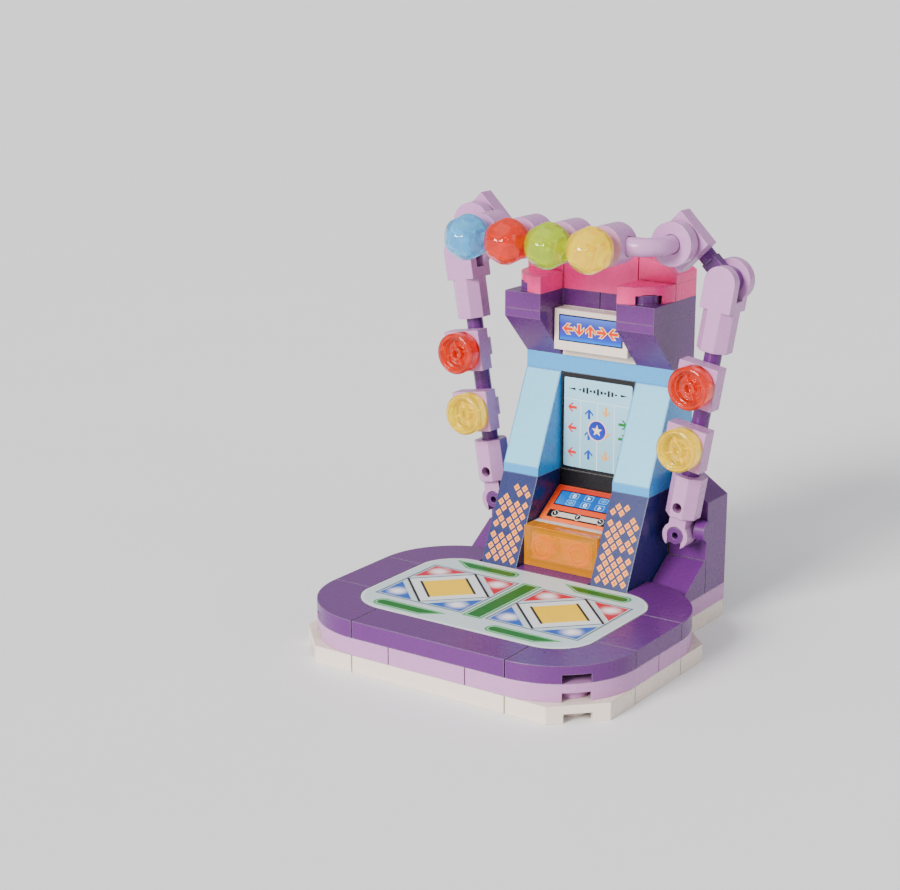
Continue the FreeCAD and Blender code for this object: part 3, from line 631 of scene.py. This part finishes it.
class PadSizes(bpy.types.PropertyGroup):
    """Design on the dance pad."""
    square: length_property("Square", "Side of each printed square", 19.0)
    spread: length_property("Spread", "Centre line to the middle of a square", 12.0)
    setback: length_property("Setback", "Pad middle to the middle of the squares, towards the back", -0.2)
    target: length_property("Target", "Half diagonal of the yellow diamond", 6.0)
    blade_length: length_property("Blade length", "Length of a green bar at the edge", 12.8)
    blade_height: length_property("Blade height", "Height of a green bar at the edge", 2.0)
    blade_reach: length_property("Blade reach", "Middle of the squares to the green bars", 12.75)
    stripe: length_property("Stripe", "Width of the green stripe between the squares", 2.7)


class LatticeSizes(bpy.types.PropertyGroup):
    """Diamond lattice on the lower slopes."""
    across: length_property("Across", "Distance between diamonds of a row", 1.8)
    rise: length_property("Rise", "Distance between two rows", 1.07)
    first: length_property("First", "Inner edge of the slope to the first diamond", 1.25)
    foot: length_property("Foot", "Foot of the slope to the lowest row", 2.75)
    half_width: length_property("Half width", "Half width of a diamond", 0.68)
    half_height: length_property("Half height", "Half height of a diamond", 0.75)
    core: FloatProperty(name="Core", description="Share of the diamond that is darker", default=0.46)


class ScreenSizes(bpy.types.PropertyGroup):
    """Design on the screen."""
    width: length_property("Width", "Width of the lit panel", 14.8)
    height: length_property("Height", "Height of the lit panel", 17.5)
    header: length_property("Header", "Height of the header band", 4.2)
    arrow: length_property("Arrow", "Length of an arrow", 1.95)
    badge: length_property("Badge", "Radius of the round badge", 2.1)


class SignSizes(bpy.types.PropertyGroup):
    """Design on the sign under the crown."""
    width: length_property("Width", "Width of the printed panel", 13.8)
    height: length_property("Height", "Height of the printed panel", 5.05)
    lift: length_property("Lift", "Panel middle above the middle of the tile", 0.4)
    arrow: length_property("Arrow", "Length of an arrow", 2.05)
    arrows: IntProperty(name="Arrows", description="Arrows in the row", default=5)


class DeskSizes(bpy.types.PropertyGroup):
    """Design on the control desk."""
    panel_width: length_property("Panel width", "Width of the touch panel and of the strip", 13.2)
    panel_height: length_property("Panel height", "Height of the touch panel", 3.8)
    panel_drop: length_property("Panel drop", "Head of the slope to the touch panel", 1.1)
    strip_height: length_property("Strip height", "Height of the knob strip", 1.8)
    strip_drop: length_property("Strip drop", "Head of the slope to the knob strip", 6.15)
    knob: length_property("Knob", "Radius of a knob", 0.66)
    knob_spacing: length_property("Knob spacing", "Distance between knobs", 4.95)


class LampSizes(bpy.types.PropertyGroup):
    """Round lenses and lamp balls."""
    rim: length_property("Rim", "Width of the rim of a lens", 0.95)
    hub: length_property("Hub", "Radius of the hub of a lens", 1.25)
    bore: length_property("Bore", "Radius of the hole in the hub", 0.7)
    depth: length_property("Depth", "Depth of the recess of a lens", 1.7)
    ribs: IntProperty(name="Ribs", description="Ribs between hub and rim", default=4)
    facet: FloatProperty(name="Facet", description="Distance of a flat facet as a share of the radius",
                         default=0.935)
    hollow: FloatProperty(name="Hollow", description="Half width of the hollow as a share of the radius",
                          default=0.52)


class StageSizes(bpy.types.PropertyGroup):
    """Camera, floor and light."""
    camera_x: length_property("Camera X", "Camera to the right of the object", 177.4)
    camera_y: length_property("Camera Y", "Camera in front of the object, negative", -279.0)
    camera_z: length_property("Camera Z", "Camera above the floor", 126.5)
    turn: FloatProperty(name="Turn", description="View direction, left of straight back",
                        default=math.radians(34.9), subtype="ANGLE")
    tilt: FloatProperty(name="Tilt", description="View direction, below level",
                        default=math.radians(15.2), subtype="ANGLE")
    lens: FloatProperty(name="Lens", description="Focal length on a sensor 36 mm wide, in millimetres",
                        default=76.4)
    floor: length_property("Floor", "Radius of the floor", 9000.0)


# ------------------------------------------------------------------ operators
class MACHINE_OT_mould_bricks(bpy.types.Operator):
    """Give every carried-over brick its moulded plastic"""
    bl_idname = "machine.mould_bricks"
    bl_label = "Mould Bricks"

    def execute(self, context):
        colours = context.scene.machine_colours
        finishes = {
            "white_plastic": moulded_abs("moulded_abs_white", colours.white),
            "lilac_plastic": moulded_abs("moulded_abs_lilac", colours.lilac),
            "dark_purple_plastic": moulded_abs("moulded_abs_purple", colours.purple),
            "pad_plastic": moulded_abs("moulded_abs_pad_grey", colours.pad),
            "navy_plastic": moulded_abs("moulded_abs_navy", colours.navy),
            "black_plastic": moulded_abs("moulded_abs_black", colours.black),
            "azure_plastic": moulded_abs("moulded_abs_azure", colours.azure),
            "pale_azure_plastic": moulded_abs("moulded_abs_pale_azure", colours.pale_azure),
            "pink_plastic": moulded_abs("moulded_abs_pink", colours.pink),
            # the third number is the strength of the painted glow of each clear plastic
            "clear_orange_plastic": clear_abs("clear_abs_orange", colours.clear_orange, 0.16, 0.8),
            "clear_red_plastic": clear_abs("clear_abs_red", colours.clear_red, 0.15),
            "clear_yellow_plastic": clear_abs("clear_abs_yellow", colours.clear_yellow, 0.22),
            "clear_blue_plastic": clear_abs("clear_abs_blue", colours.clear_blue, 0.10),
            "clear_green_plastic": clear_abs("clear_abs_green", colours.clear_green, 0.15),
        }
        desk = moulded_abs("moulded_abs_orange", colours.orange)
        # the upper slopes are moulded in the darker azure as painted shade on their sides
        special = {"desk_slope": desk, "azure_slopes": finishes["azure_plastic"]}
        for name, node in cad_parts.items():
            for slot in node.material_slots:
                slot.material = special.get(name, finishes[slot.material.name])
        # their own pale azure lies only on each slanting front face; the darker azure round it is painted
        # shade
        pale = finishes["pale_azure_plastic"]
        film = context.scene.machine_prints
        for side, name in ((-1, "left"), (1, "right")):
            left, right, foot, head = slanting_face("azure_slopes", side)
            length, placing = on_slope(left, right, foot, head)
            face = rectangle(right - left - 0.3 * MM, length - 0.3 * MM)
            piece("pale_face_" + name, slab("face", face, *layer(0, film)), pale, "machine",
                  placing)
        return {"FINISHED"}


class MACHINE_OT_print_pad(bpy.types.Operator):
    """Lay the printed sheet on the dance pad"""
    bl_idname = "machine.print_pad"
    bl_label = "Print Pad"

    def execute(self, context):
        pad, film = context.scene.machine_pad, context.scene.machine_prints
        low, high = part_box("dance_pad")
        middle = (low + high) / 2
        placing = lay(Vector((middle.x, middle.y, high.z)), Vector((1, 0, 0)), Vector((0, 1, 0)))
        width, depth = high.x - low.x, high.y - low.y
        corner = min(8 * MM, depth / 3)
        pale, grey = linear("CBD6D8"), linear("6A7480")
        put = printer("pad_", placing)
        sheet = rounded(width - 2 * film.margin, depth - 2 * film.margin, corner - film.margin, 12)
        put("sheet", slab("sheet", sheet, 0, film.film), printed_ink("printed_vinyl_sheet", pale, 0.24))
        half = pad.square / 2
        squares = [(side * pad.spread, pad.setback) for side in (-1, 1)]
        thin = printed_ink("printed_ink_grey", grey)
        dark = printed_ink("printed_ink_black", linear("15171C"))
        outline = rectangle(pad.square, pad.square)
        mesh = ring("lines", outline, inset(outline, film.line), *layer(1, film))
        put("square_lines", stamped(mesh, squares, thin), thin)
        # bare strip round each diamond, and the light line round each green shape
        bare = 0.35 * MM
        halo = (-0.62 * MM, -0.22 * MM)
        stage = diamond(half - bare, half - bare)
        white = printed_ink("printed_ink_white", linear("E2E6E6"))
        put("diamonds", stamped(slab("white", stage, *layer(1, film)), squares, white), white)
        mesh = ring("lines", stage, inset(stage, film.line), *layer(2, film))
        put("diamond_lines", stamped(mesh, squares, thin), thin)
        # two sides of each diamond carry a heavier line
        target = diamond(pad.target, pad.target)
        strokes = []
        for reach in (half - bare, pad.target + 0.2 * MM):
            length = reach * math.sqrt(2)
            offset = reach / 2 - 0.12 * MM
            mesh = slab("stroke", rectangle(0.42 * MM, length), *layer(3, film))
            spots = [(x + side * offset, y + side * offset, 45) for x, y in squares for side in (-1, 1)]
            strokes.append((mesh, spots))
        for name, (mesh, spots) in zip(("outer", "inner"), strokes):
            put(name + "_strokes", stamped(mesh, spots, dark), dark)
        yellow = printed_ink("printed_ink_yellow", linear("FCDC00"))
        put("targets", stamped(slab("target", target, *layer(2, film)), squares, yellow), yellow)
        # corner fields: red at the back, blue at the front, each with a printed highlight
        corner_field = inset([Vector((half, half)), Vector((bare, half)), Vector((half, bare))], 0.62 * MM)
        glow = sum(corner_field, Vector((0, 0))) / 3
        for name, colour, turns in (("red", "C41450", (0, 90)), ("blue", "1E70B4", (180, 270))):
            mesh = slab("field", corner_field, *layer(1, film))
            spots_uv = mesh.uv_layers.new(name="glow").data
            for loop in mesh.loops:
                point = Vector(mesh.vertices[loop.vertex_index].co.xy)
                spots_uv[loop.index].uv = (point - glow) / (2.7 * MM)
            ink = glowing_ink("printed_ink_" + name, linear(colour), linear("F4F0F4"))
            spots = [(x, y, turn) for x, y in squares for turn in turns]
            put(name + "_fields", stamped(mesh, spots, ink), ink)
        green = printed_ink("printed_ink_green", linear("006A2E"))
        light = printed_ink("printed_ink_light_green", linear("48A860"))
        for name, facing, side in (("back", 1, 1), ("front", -1, -1)):
            shape = blade(pad.blade_length, pad.blade_height, facing)
            spots = [(x, y + side * pad.blade_reach) for x, y in squares]
            put(name + "_blades", stamped(slab("blade", shape, *layer(1, film)), spots, green), green)
            mesh = ring("halo", *(inset(shape, reach) for reach in halo), *layer(1, film))
            put(name + "_halos", stamped(mesh, spots, light), light)
        stripe = rectangle(pad.stripe, pad.square)
        spots = [(0, pad.setback)]
        put("stripe", stamped(slab("stripe", stripe, *layer(1, film)), spots, green), green)
        mesh = ring("halo", *(inset(stripe, reach) for reach in halo), *layer(1, film))
        put("stripe_halo", stamped(mesh, spots, light), light)
        return {"FINISHED"}


class MACHINE_OT_print_lattice(bpy.types.Operator):
    """Print the diamond lattice on both lower slopes"""
    bl_idname = "machine.print_lattice"
    bl_label = "Print Lattice"

    # diamonds printed in each row, from the foot up and from the inner edge outwards
    rows = ("1111", "111", "1111", "111", "1111", "100", "1111", "111", "1101", "111", "1111", "001",
            "1100", "110")

    def execute(self, context):
        sizes, film = context.scene.machine_lattice, context.scene.machine_prints
        pale = printed_ink("printed_ink_peach", linear("FABC68"))
        core = printed_ink("printed_ink_orange", linear("E48C10"))
        for side, name in ((-1, "left"), (1, "right")):
            left, right, foot, head = slanting_face("navy_slopes", side)
            inner = left if side > 0 else right
            placing = lay(Vector((inner, foot.y, foot.z)), Vector((1, 0, 0)),
                          Vector((0, head.y - foot.y, head.z - foot.z)).normalized())
            spots = []
            for row, printed in enumerate(self.rows):
                start = sizes.first + (row % 2) * sizes.across / 2
                spots += [(side * (start + place * sizes.across), sizes.foot + row * sizes.rise)
                          for place, mark in enumerate(printed) if mark == "1"]
            for part, ink, share, height in (("rims", pale, 1.0, 0), ("cores", core, sizes.core, 1)):
                shape = diamond(sizes.half_width * share, sizes.half_height * share)
                mesh = stamped(slab("diamond", shape, *layer(height, film)), spots, ink)
                piece("lattice_%s_%s" % (part, name), mesh, ink, "machine", placing)
        return {"FINISHED"}


class MACHINE_OT_print_screen(bpy.types.Operator):
    """Print the falling arrows on the screen"""
    bl_idname = "machine.print_screen"
    bl_label = "Print Screen"

    # arrows of each column: name, colour, turn, heights over the foot of the panel in panel heights
    columns = (("red", "D83A38", 90, (0.67, 0.44, 0.165)), ("blue", "2C5EAC", 0, (0.62, 0.385, 0.165)),
               ("tan", "E8B878", 180, (0.67, 0.43, 0.175)), ("green", "1E7A3C", -90, (0.56, 0.40, 0.175)))

    def execute(self, context):
        sizes, film = context.scene.machine_screen, context.scene.machine_prints
        low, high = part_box("screen_brick")
        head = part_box("azure_plate")[0].z
        middle = Vector(((low.x + high.x) / 2, low.y, (low.z + head) / 2 - 0.15 * MM))
        put = printer("screen_", upright(*middle))
        foot = middle.z - sizes.height / 2
        stops = [(0.0, linear("9CC4D0")), (0.5, linear("A8CCD8")), (1.0, linear("B4DCEC"))]
        panel = shaded_ink("printed_ink_screen_blue", stops, (0.12, 0, 1), foot, sizes.height, 0.1)
        put("panel", slab("panel", rounded(sizes.width, sizes.height, 0.35 * MM), *layer(0, film)), panel)
        pale = printed_ink("printed_ink_pale_line", linear("E4F0F4"))
        line_y = sizes.height / 2 - sizes.header
        shape = [Vector((p.x, p.y + line_y)) for p in rectangle(sizes.width - 0.3 * MM, 0.13 * MM)]
        put("header_line", slab("line", shape, *layer(1, film)), pale)
        column = sizes.width / 4
        length = sizes.height - sizes.header
        mesh = slab("divider", rectangle(0.16 * MM, length), *layer(1, film))
        dividers = [(step * column, -sizes.header / 2) for step in (-1, 0, 1)]
        put("dividers", stamped(mesh, dividers, pale), pale)
        black = printed_ink("printed_ink_screen_black", linear("14181E"))
        title_y = sizes.height / 2 - sizes.header / 2 - 0.05 * MM
        # level meter in place of a title
        bars = [(step * 0.78 * MM, title_y, 0, 0.62 + 0.38 * math.cos(1.9 * step)) for step in range(-5, 6)]
        mesh = slab("bar", rectangle(0.46 * MM, 1.25 * MM), *layer(1, film))
        put("level_bars", stamped(mesh, bars, black), black)
        wedge = [Vector((0.75 * MM, -0.24 * MM)), Vector((0.75 * MM, 0.24 * MM)), Vector((-0.75 * MM, 0))]
        spots = [(-5.7 * MM, title_y, 0), (5.7 * MM, title_y, 180)]
        put("title_wedges", stamped(slab("wedge", wedge, *layer(1, film)), spots, black), black)
        for index, (name, colour, turn, heights) in enumerate(self.columns):
            ink = printed_ink("printed_ink_arrow_" + name, linear(colour))
            x = (index - 1.5) * column
            spots = [(x, (share - 0.5) * sizes.height, turn) for share in heights]
            mesh = slab("arrow", arrow(sizes.arrow, 0.27), *layer(1, film))
            put("arrows_" + name, stamped(mesh, spots, ink), ink)
        centre = [(0, -0.05 * sizes.height)]
        rim = printed_ink("printed_ink_badge_rim", linear("F0D8DC"))
        blue = shaded_ink("printed_ink_badge_blue", [(0.0, linear("1E5CC0")), (1.0, linear("2C3C90"))],
                          (0.3, 0, 1), middle.z - 0.05 * sizes.height - sizes.badge, 2 * sizes.badge)
        mark = printed_ink("printed_ink_badge_star", linear("F6E2C8"))
        purple = printed_ink("printed_ink_badge_line", linear("6A4A90"))
        for name, shape, height, ink in (("rim", circle(sizes.badge), 2, rim),
                                         ("line", circle(0.88 * sizes.badge), 3, purple),
                                         ("disc", circle(0.81 * sizes.badge), 4, blue),
                                         ("star", star(0.56 * sizes.badge, 0.23 * sizes.badge), 5, mark)):
            put("badge_" + name, stamped(slab(name, shape, *layer(height, film)), centre, ink), ink)
        return {"FINISHED"}


class MACHINE_OT_print_sign(bpy.types.Operator):
    """Print the row of dance arrows on the sign"""
    bl_idname = "machine.print_sign"
    bl_label = "Print Sign"

    turns = (90, 180, 0, -90, 90, 180, 0, -90)

    def execute(self, context):
        sizes, film = context.scene.machine_sign, context.scene.machine_prints
        low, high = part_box("sign_tile")
        middle = Vector(((low.x + high.x) / 2, low.y, (low.z + high.z) / 2 + sizes.lift))
        put = printer("sign_", upright(*middle))
        black = printed_ink("printed_ink_sign_black", linear("1A1838"))
        put("edge", slab("edge", rounded(sizes.width, sizes.height, 0.15 * MM), *layer(0, film)), black)
        stops = [(0.0, linear("1898E0")), (0.2, linear("2C60C0")), (0.42, linear("64309C")),
                 (0.62, linear("4C50A8")), (1.0, linear("6C90D4"))]
        panel = shaded_ink("printed_ink_sign_blue", stops, (0, 0, 1), middle.z - sizes.height / 2,
                           sizes.height, 0.05)
        face = rounded(sizes.width - 0.5 * MM, sizes.height - 0.5 * MM, 0.1 * MM)
        put("panel", slab("panel", face, *layer(1, film)), panel)
        spacing = (sizes.width - 1.6 * MM) / sizes.arrows
        spots = [((step - (sizes.arrows - 1) / 2) * spacing, -0.1 * MM, self.turns[step])
                 for step in range(sizes.arrows)]
        shape = arrow(sizes.arrow, 0.26)
        for name, colour, grow, height in (("glow", "F8E4A0", 0.16 * MM, 2), ("arrows", "E0401C", 0, 3)):
            ink = printed_ink("printed_ink_sign_" + name, linear(colour))
            mesh = slab(name, inset(shape, -grow), *layer(height, film))
            put(name, stamped(mesh, spots, ink), ink)
        return {"FINISHED"}


class MACHINE_OT_print_desk(bpy.types.Operator):
    """Print the touch panel and fit the knobs on the control desk"""
    bl_idname = "machine.print_desk"
    bl_label = "Print Desk"

    def execute(self, context):
        sizes, film = context.scene.machine_desk, context.scene.machine_prints
        left, right, foot, head = slanting_face("desk_slope", 0)
        length, placing = on_slope(left, right, foot, head)
        put = printer("desk_", placing)

        def at(outline, y):
            return [Vector((p.x, p.y + y)) for p in outline]

        panel_y = length / 2 - sizes.panel_drop - sizes.panel_height / 2
        strip_y = length / 2 - sizes.strip_drop - sizes.strip_height / 2
        stops = [(0.0, linear("F09048")), (0.35, linear("DC6C3C")), (1.0, linear("C04A30"))]
        face = shaded_ink("printed_ink_desk_orange", stops, (0, 0, 1), foot.z, head.z - foot.z, 0.06)
        shape = rectangle(right - left - 0.3 * MM, length - 0.2 * MM)
        put("face", slab("face", shape, *layer(0, film)), face)
        black = printed_ink("printed_ink_desk_black", linear("14161A"))
        for name, y, height in (("panel", panel_y, sizes.panel_height),
                                ("strip", strip_y, sizes.strip_height)):
            shape = at(rounded(sizes.panel_width, height, 0.2 * MM), y)
            put(name + "_edge", slab("edge", shape, *layer(1, film)), black)
        stops = [(0.0, linear("58B4E0")), (0.5, linear("2C78B8")), (1.0, linear("2A62A4"))]
        blue = shaded_ink("printed_ink_touch_blue", stops, (0.4, 0, 1), foot.z - 3 * MM, 9 * MM, 0.1)
        panel = rounded(sizes.panel_width - 0.5 * MM, sizes.panel_height - 0.5 * MM, 0.15 * MM)
        put("panel", slab("panel", at(panel, panel_y), *layer(2, film)), blue)
        pale = printed_ink("printed_ink_icon_blue", linear("8CCBEC"))
        white = printed_ink("printed_ink_icon_white", linear("EEF6FA"))
        icon = rounded(1.9 * MM, 1.35 * MM, 0.25 * MM)
        spots = [(column * 3.2 * MM, panel_y + row * 0.88 * MM)
                 for column in (-1, 0, 1) for row in (-1, 1)]
        mesh = ring("icon", icon, inset(icon, 0.14 * MM), *layer(3, film))
        put("icons", stamped(mesh, spots, pale), pale)
        dots = [spots[i] for i in (1, 2)]
        mesh = ring("dot", circle(0.42 * MM, 24), circle(0.2 * MM, 24), *layer(3, film))
        put("icon_rings", stamped(mesh, dots, white), white)
        play = [Vector((0.42 * MM, 0)), Vector((-0.3 * MM, 0.42 * MM)), Vector((-0.3 * MM, -0.42 * MM))]
        mesh = slab("play", play, *layer(3, film))
        put("icon_plays", stamped(mesh, [spots[i] for i in (3, 4)], white), white)
        mesh = slab("note", rectangle(0.2 * MM, 0.75 * MM), *layer(3, film))
        notes = [(spots[i][0] + shift * MM, spots[i][1], 0, size) for i in (0, 5)
                 for shift, size in ((-0.4, 0.6), (0.0, 1.0), (0.4, 0.8))]
        put("icon_levels", stamped(mesh, notes, pale), pale)
        silver = printed_ink("printed_ink_silver", linear("C8C4BC"), 0.22)
        bar = rounded(2 * sizes.knob_spacing - 1.0 * MM, 0.62 * sizes.strip_height, 0.2 * MM)
        put("strip_bar", slab("bar", at(bar, strip_y), *layer(2, film)), silver)
        knobs = [(step * sizes.knob_spacing, strip_y) for step in (-1, 0, 1)]
        rim = [(0, 0.16 * MM), (1.12 * sizes.knob, 0.16 * MM), (1.18 * sizes.knob, 0), (0, 0)]
        put("knob_rims", stamped(turned("rim", rim, 32), knobs, silver), silver)
        cap = soft_corner([(0, 0.3 * MM), (0.45 * sizes.knob, 0.34 * MM), (0.86 * sizes.knob, 0.3 * MM),
                           (0.9 * sizes.knob, 0.1 * MM), (0, 0.1 * MM)], 0.08 * MM)
        # the studs of the bracket show through the clear lamp tile
        low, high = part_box("desk_lamp_tile")
        front = upright((low.x + high.x) / 2, low.y, (low.z + high.z) / 2)
        # 0.12 is the strength of their painted glow
        deep = clear_abs("clear_abs_deep_orange", linear("F07800"), 0.12, 0.4)
        for name, outer, inner in (("rings", 2.4, 1.95), ("cores", 1.5, 1.2)):
            mesh = ring("stud", circle(outer * MM), circle(inner * MM), *layer(0, film))
            mesh = stamped(mesh, [(-4 * MM, 0), (4 * MM, 0)], deep)
            piece("desk_lamp_" + name, mesh, deep, "machine", front)
        knob = moulded_abs("moulded_abs_knob_black", linear("16181C"))
        put("knobs", stamped(turned("cap", cap, 32), knobs, knob), knob)
        mesh = slab("pointer", rectangle(0.16 * MM, 0.9 * sizes.knob), 0.3 * MM, 0.37 * MM)
        pointers = [(x, y, turn) for (x, y), turn in zip(knobs, (35, -20, 60))]
        put("knob_pointers", stamped(mesh, pointers, white), white)
        return {"FINISHED"}


class MACHINE_OT_mould_lenses(bpy.types.Operator):
    """Mould the four round lenses with rims, hubs and ribs"""
    bl_idname = "machine.mould_lenses"
    bl_label = "Mould Lenses"

    def execute(self, context):
        sizes = context.scene.machine_lamps
        for height, kind, colour in (("lower", "clear_yellow_plastic", "clear_abs_yellow"),
                                     ("upper", "clear_red_plastic", "clear_abs_red")):
            for side in ("left", "right"):
                lamp = height + "_" + side
                low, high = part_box("lamp_lens_" + lamp)
                radius = (high.x - low.x) / 2
                disc = 3.2 * MM
                back = low.y - high.y + 0.1 * MM
                placing = upright((low.x + high.x) / 2, low.y, (low.z + high.z) / 2)
                inner = radius - sizes.rim
                # bore and hub, floor, step and rim, disc, then the stem that holds it
                profile = [(0, -sizes.depth), (sizes.bore, -sizes.depth), (sizes.bore, -0.45 * MM),
                           (sizes.hub, -0.45 * MM), (sizes.hub, -sizes.depth),
                           (inner - 0.55 * MM, -sizes.depth), (inner - 0.45 * MM, -0.9 * MM),
                           (inner - 0.1 * MM, -0.9 * MM), (inner, -0.05 * MM), (radius - 0.35 * MM, 0),
                           (radius, -0.3 * MM), (radius, -disc + 0.15 * MM), (radius - 0.15 * MM, -disc),
                           (0.6 * radius, -disc), (0.6 * radius, back), (0, back)]
                material = bpy.data.materials[colour]
                body = "lamp_" + lamp
                mesh = turned("lens", soft_corner(profile, 0.12 * MM), 72)
                lens = piece("round_lens_" + lamp, mesh, material, body, placing)
                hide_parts("lamp_lens_" + lamp)
                # ribs from the hub to the step of the rim
                reach = inner - 0.5 * MM - sizes.hub
                rib = [Vector((p.x + sizes.hub + reach / 2, p.y))
                       for p in rectangle(reach + 0.1 * MM, 0.18 * MM)]
                spots = [(0, 0, 360 * step / sizes.ribs + 20) for step in range(sizes.ribs)]
                mesh = stamped(slab("rib", rib, -sizes.depth, -1.15 * MM), spots, material)
                piece("lens_ribs_" + lamp, mesh, material, body, placing)
                inputs = {"Ridges": 2, "Inner Radius": sizes.hub + 0.42 * reach,
                          "Outer Radius": inner + 0.5 * sizes.rim, "Ridge Radius": 0.13 * MM,
                          "Material": material}
                mesh = evaluated(ripple_tree(), mesh_from("start", [], []), inputs)
                for vertex in mesh.vertices:
                    inside = vertex.co.xy.length < inner
                    vertex.co.z += -sizes.depth + 0.05 * MM if inside else -0.1 * MM
                piece("lens_ridges_" + lamp, mesh, material, body, placing)
        return {"FINISHED"}


class MACHINE_OT_mould_balls(bpy.types.Operator):
    """Mould the four faceted lamp balls with their hollow"""
    bl_idname = "machine.mould_balls"
    bl_label = "Mould Balls"

    def execute(self, context):
        sizes = context.scene.machine_lamps
        straight = [Vector(n) for n in ((1, 0, 0), (0, 1, 0), (0, 0, 1))]
        slanted = [Vector(n).normalized() for n in ((1, 1, 0), (1, -1, 0), (1, 0, 1), (1, 0, -1),
                                                    (0, 1, 1), (0, 1, -1))]
        tilt = Matrix.Rotation(math.radians(20), 3, "Y") @ Matrix.Rotation(math.radians(12), 3, "X")
        facets = [tilt @ n for n in straight + slanted]
        sides = [tilt @ n for n in straight]

        def shell(direction, radius):
            """Distance to the faceted skin in a direction."""
            return min([radius] + [sizes.facet * radius / max(abs(direction.dot(n)), 1e-6) for n in facets])

        def hollow(direction, radius):
            """Distance to the rounded cube inside."""
            power = sum(abs(direction.dot(n)) ** 5 for n in sides)
            return sizes.hollow * radius * power ** -0.2

        for name, kind, colour in (("blue", "clear_blue_plastic", "clear_abs_blue"),
                                   ("orange", "clear_red_plastic", "clear_abs_red"),
                                   ("green", "clear_green_plastic", "clear_abs_green"),
                                   ("yellow", "clear_yellow_plastic", "clear_abs_yellow")):
            low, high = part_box("ball_" + name)
            centre = Vector(((low.x + high.x) / 2, low.y + (high.x - low.x) / 2, (low.z + high.z) / 2))
            radius = (high.x - low.x) / 2
            vertices, faces = [], []
            for distance, inward in ((shell, False), (hollow, True)):
                grid = unit_sphere(64, 40)
                start = len(vertices)
                for vertex in grid.vertices:
                    direction = vertex.co.normalized()
                    vertices.append(centre + direction * distance(direction, radius))
                for face in grid.polygons:
                    corners = [start + i for i in face.vertices]
                    faces.append(tuple(reversed(corners)) if inward else tuple(corners))
                bpy.data.meshes.remove(grid)
            mesh = mesh_from("ball", vertices, faces)
            mesh.shade_smooth()
            mesh.set_sharp_from_angle(angle=math.radians(9))
            ball = piece("lamp_ball_" + name, mesh, bpy.data.materials[colour], "lamp_ball_" + name)
            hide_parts("ball_" + name)
        return {"FINISHED"}


class MACHINE_OT_set_stage(bpy.types.Operator):
    """Set the floor, the soft studio light and the camera"""
    bl_idname = "machine.set_stage"
    bl_label = "Set Stage"

    # name, direction towards the light, width in degrees, strength, colour
    lamps = (("key_light", (-0.15, -0.90, 0.42), 22, 5.6, "FFFAF6"),
             ("top_light", (-0.15, -0.20, 1.0), 60, 0.80, "FFFFFF"),
             ("side_light", (0.90, -0.10, 0.35), 40, 0.50, "F4EEFF"))

    def execute(self, context):
        sizes = context.scene.machine_stage
        # the floor's top is where the object's foot is
        ground = slab("floor", circle(sizes.floor, 96), -2 * MM, CAD_BOX[0].z)
        ground.materials.append(coated_paper("matt_coated_paper", linear("EFEFF1")))
        floor = bpy.data.objects.new("floor", ground)
        context.scene.collection.objects.link(floor)
        for name, towards, width, strength, colour in self.lamps:
            light = bpy.data.lights.new(name, "SUN")
            light.angle = math.radians(width)
            light.energy = strength
            light.color = linear(colour)
            lamp = bpy.data.objects.new(name, light)
            lamp.rotation_euler = Vector(towards).to_track_quat("Z", "Y").to_euler()
            context.scene.collection.objects.link(lamp)
        world = bpy.data.worlds.new("studio")
        world.use_nodes = True
        world.node_tree.nodes.clear()
        sky = add_node(world.node_tree, "ShaderNodeBackground",
                       {"Color": rgba(linear("F2F3F6")), "Strength": 0.62})
        add_node(world.node_tree, "ShaderNodeOutputWorld", None, {"Surface": sky.outputs["Background"]})
        context.scene.world = world
        view = bpy.data.cameras.new("camera")
        view.sensor_width = 36
        view.lens = sizes.lens
        view.clip_start = 0.01
        view.clip_end = 40
        camera = bpy.data.objects.new("camera", view)
        camera.location = (sizes.camera_x, sizes.camera_y, sizes.camera_z)
        level = math.cos(sizes.tilt)
        forward = Vector((-math.sin(sizes.turn) * level, math.cos(sizes.turn) * level, -math.sin(sizes.tilt)))
        camera.rotation_euler = forward.to_track_quat("-Z", "Y").to_euler()
        context.scene.collection.objects.link(camera)
        context.scene.camera = camera
        return {"FINISHED"}


class MACHINE_PT_finish(bpy.types.Panel):
    """Steps that finish the dance machine"""
    bl_label = "Dance Machine"
    bl_space_type = "VIEW_3D"
    bl_region_type = "UI"
    bl_category = "Dance Machine"

    def draw(self, context):
        for step in STEPS:
            self.layout.operator(step.bl_idname)


STEPS = (MACHINE_OT_mould_bricks, MACHINE_OT_print_pad, MACHINE_OT_print_lattice, MACHINE_OT_print_screen,
         MACHINE_OT_print_sign, MACHINE_OT_print_desk, MACHINE_OT_mould_lenses, MACHINE_OT_mould_balls,
         MACHINE_OT_set_stage)
GROUPS = {"machine_colours": MachineColours, "machine_prints": PrintSizes, "machine_pad": PadSizes,
          "machine_lattice": LatticeSizes, "machine_screen": ScreenSizes, "machine_sign": SignSizes,
          "machine_desk": DeskSizes, "machine_lamps": LampSizes, "machine_stage": StageSizes}


def register():
    for item in (*GROUPS.values(), *STEPS, MACHINE_PT_finish):
        bpy.utils.register_class(item)
    for name, group in GROUPS.items():
        setattr(bpy.types.Scene, name, PointerProperty(type=group))


def unregister():
    for name in GROUPS:
        delattr(bpy.types.Scene, name)
    for item in (MACHINE_PT_finish, *reversed(STEPS), *reversed(GROUPS.values())):
        bpy.utils.unregister_class(item)


def main():
    register()
    for step in STEPS:
        group, name = step.bl_idname.split(".")
        getattr(getattr(bpy.ops, group), name)()


if __name__ == "__main__":
    main()
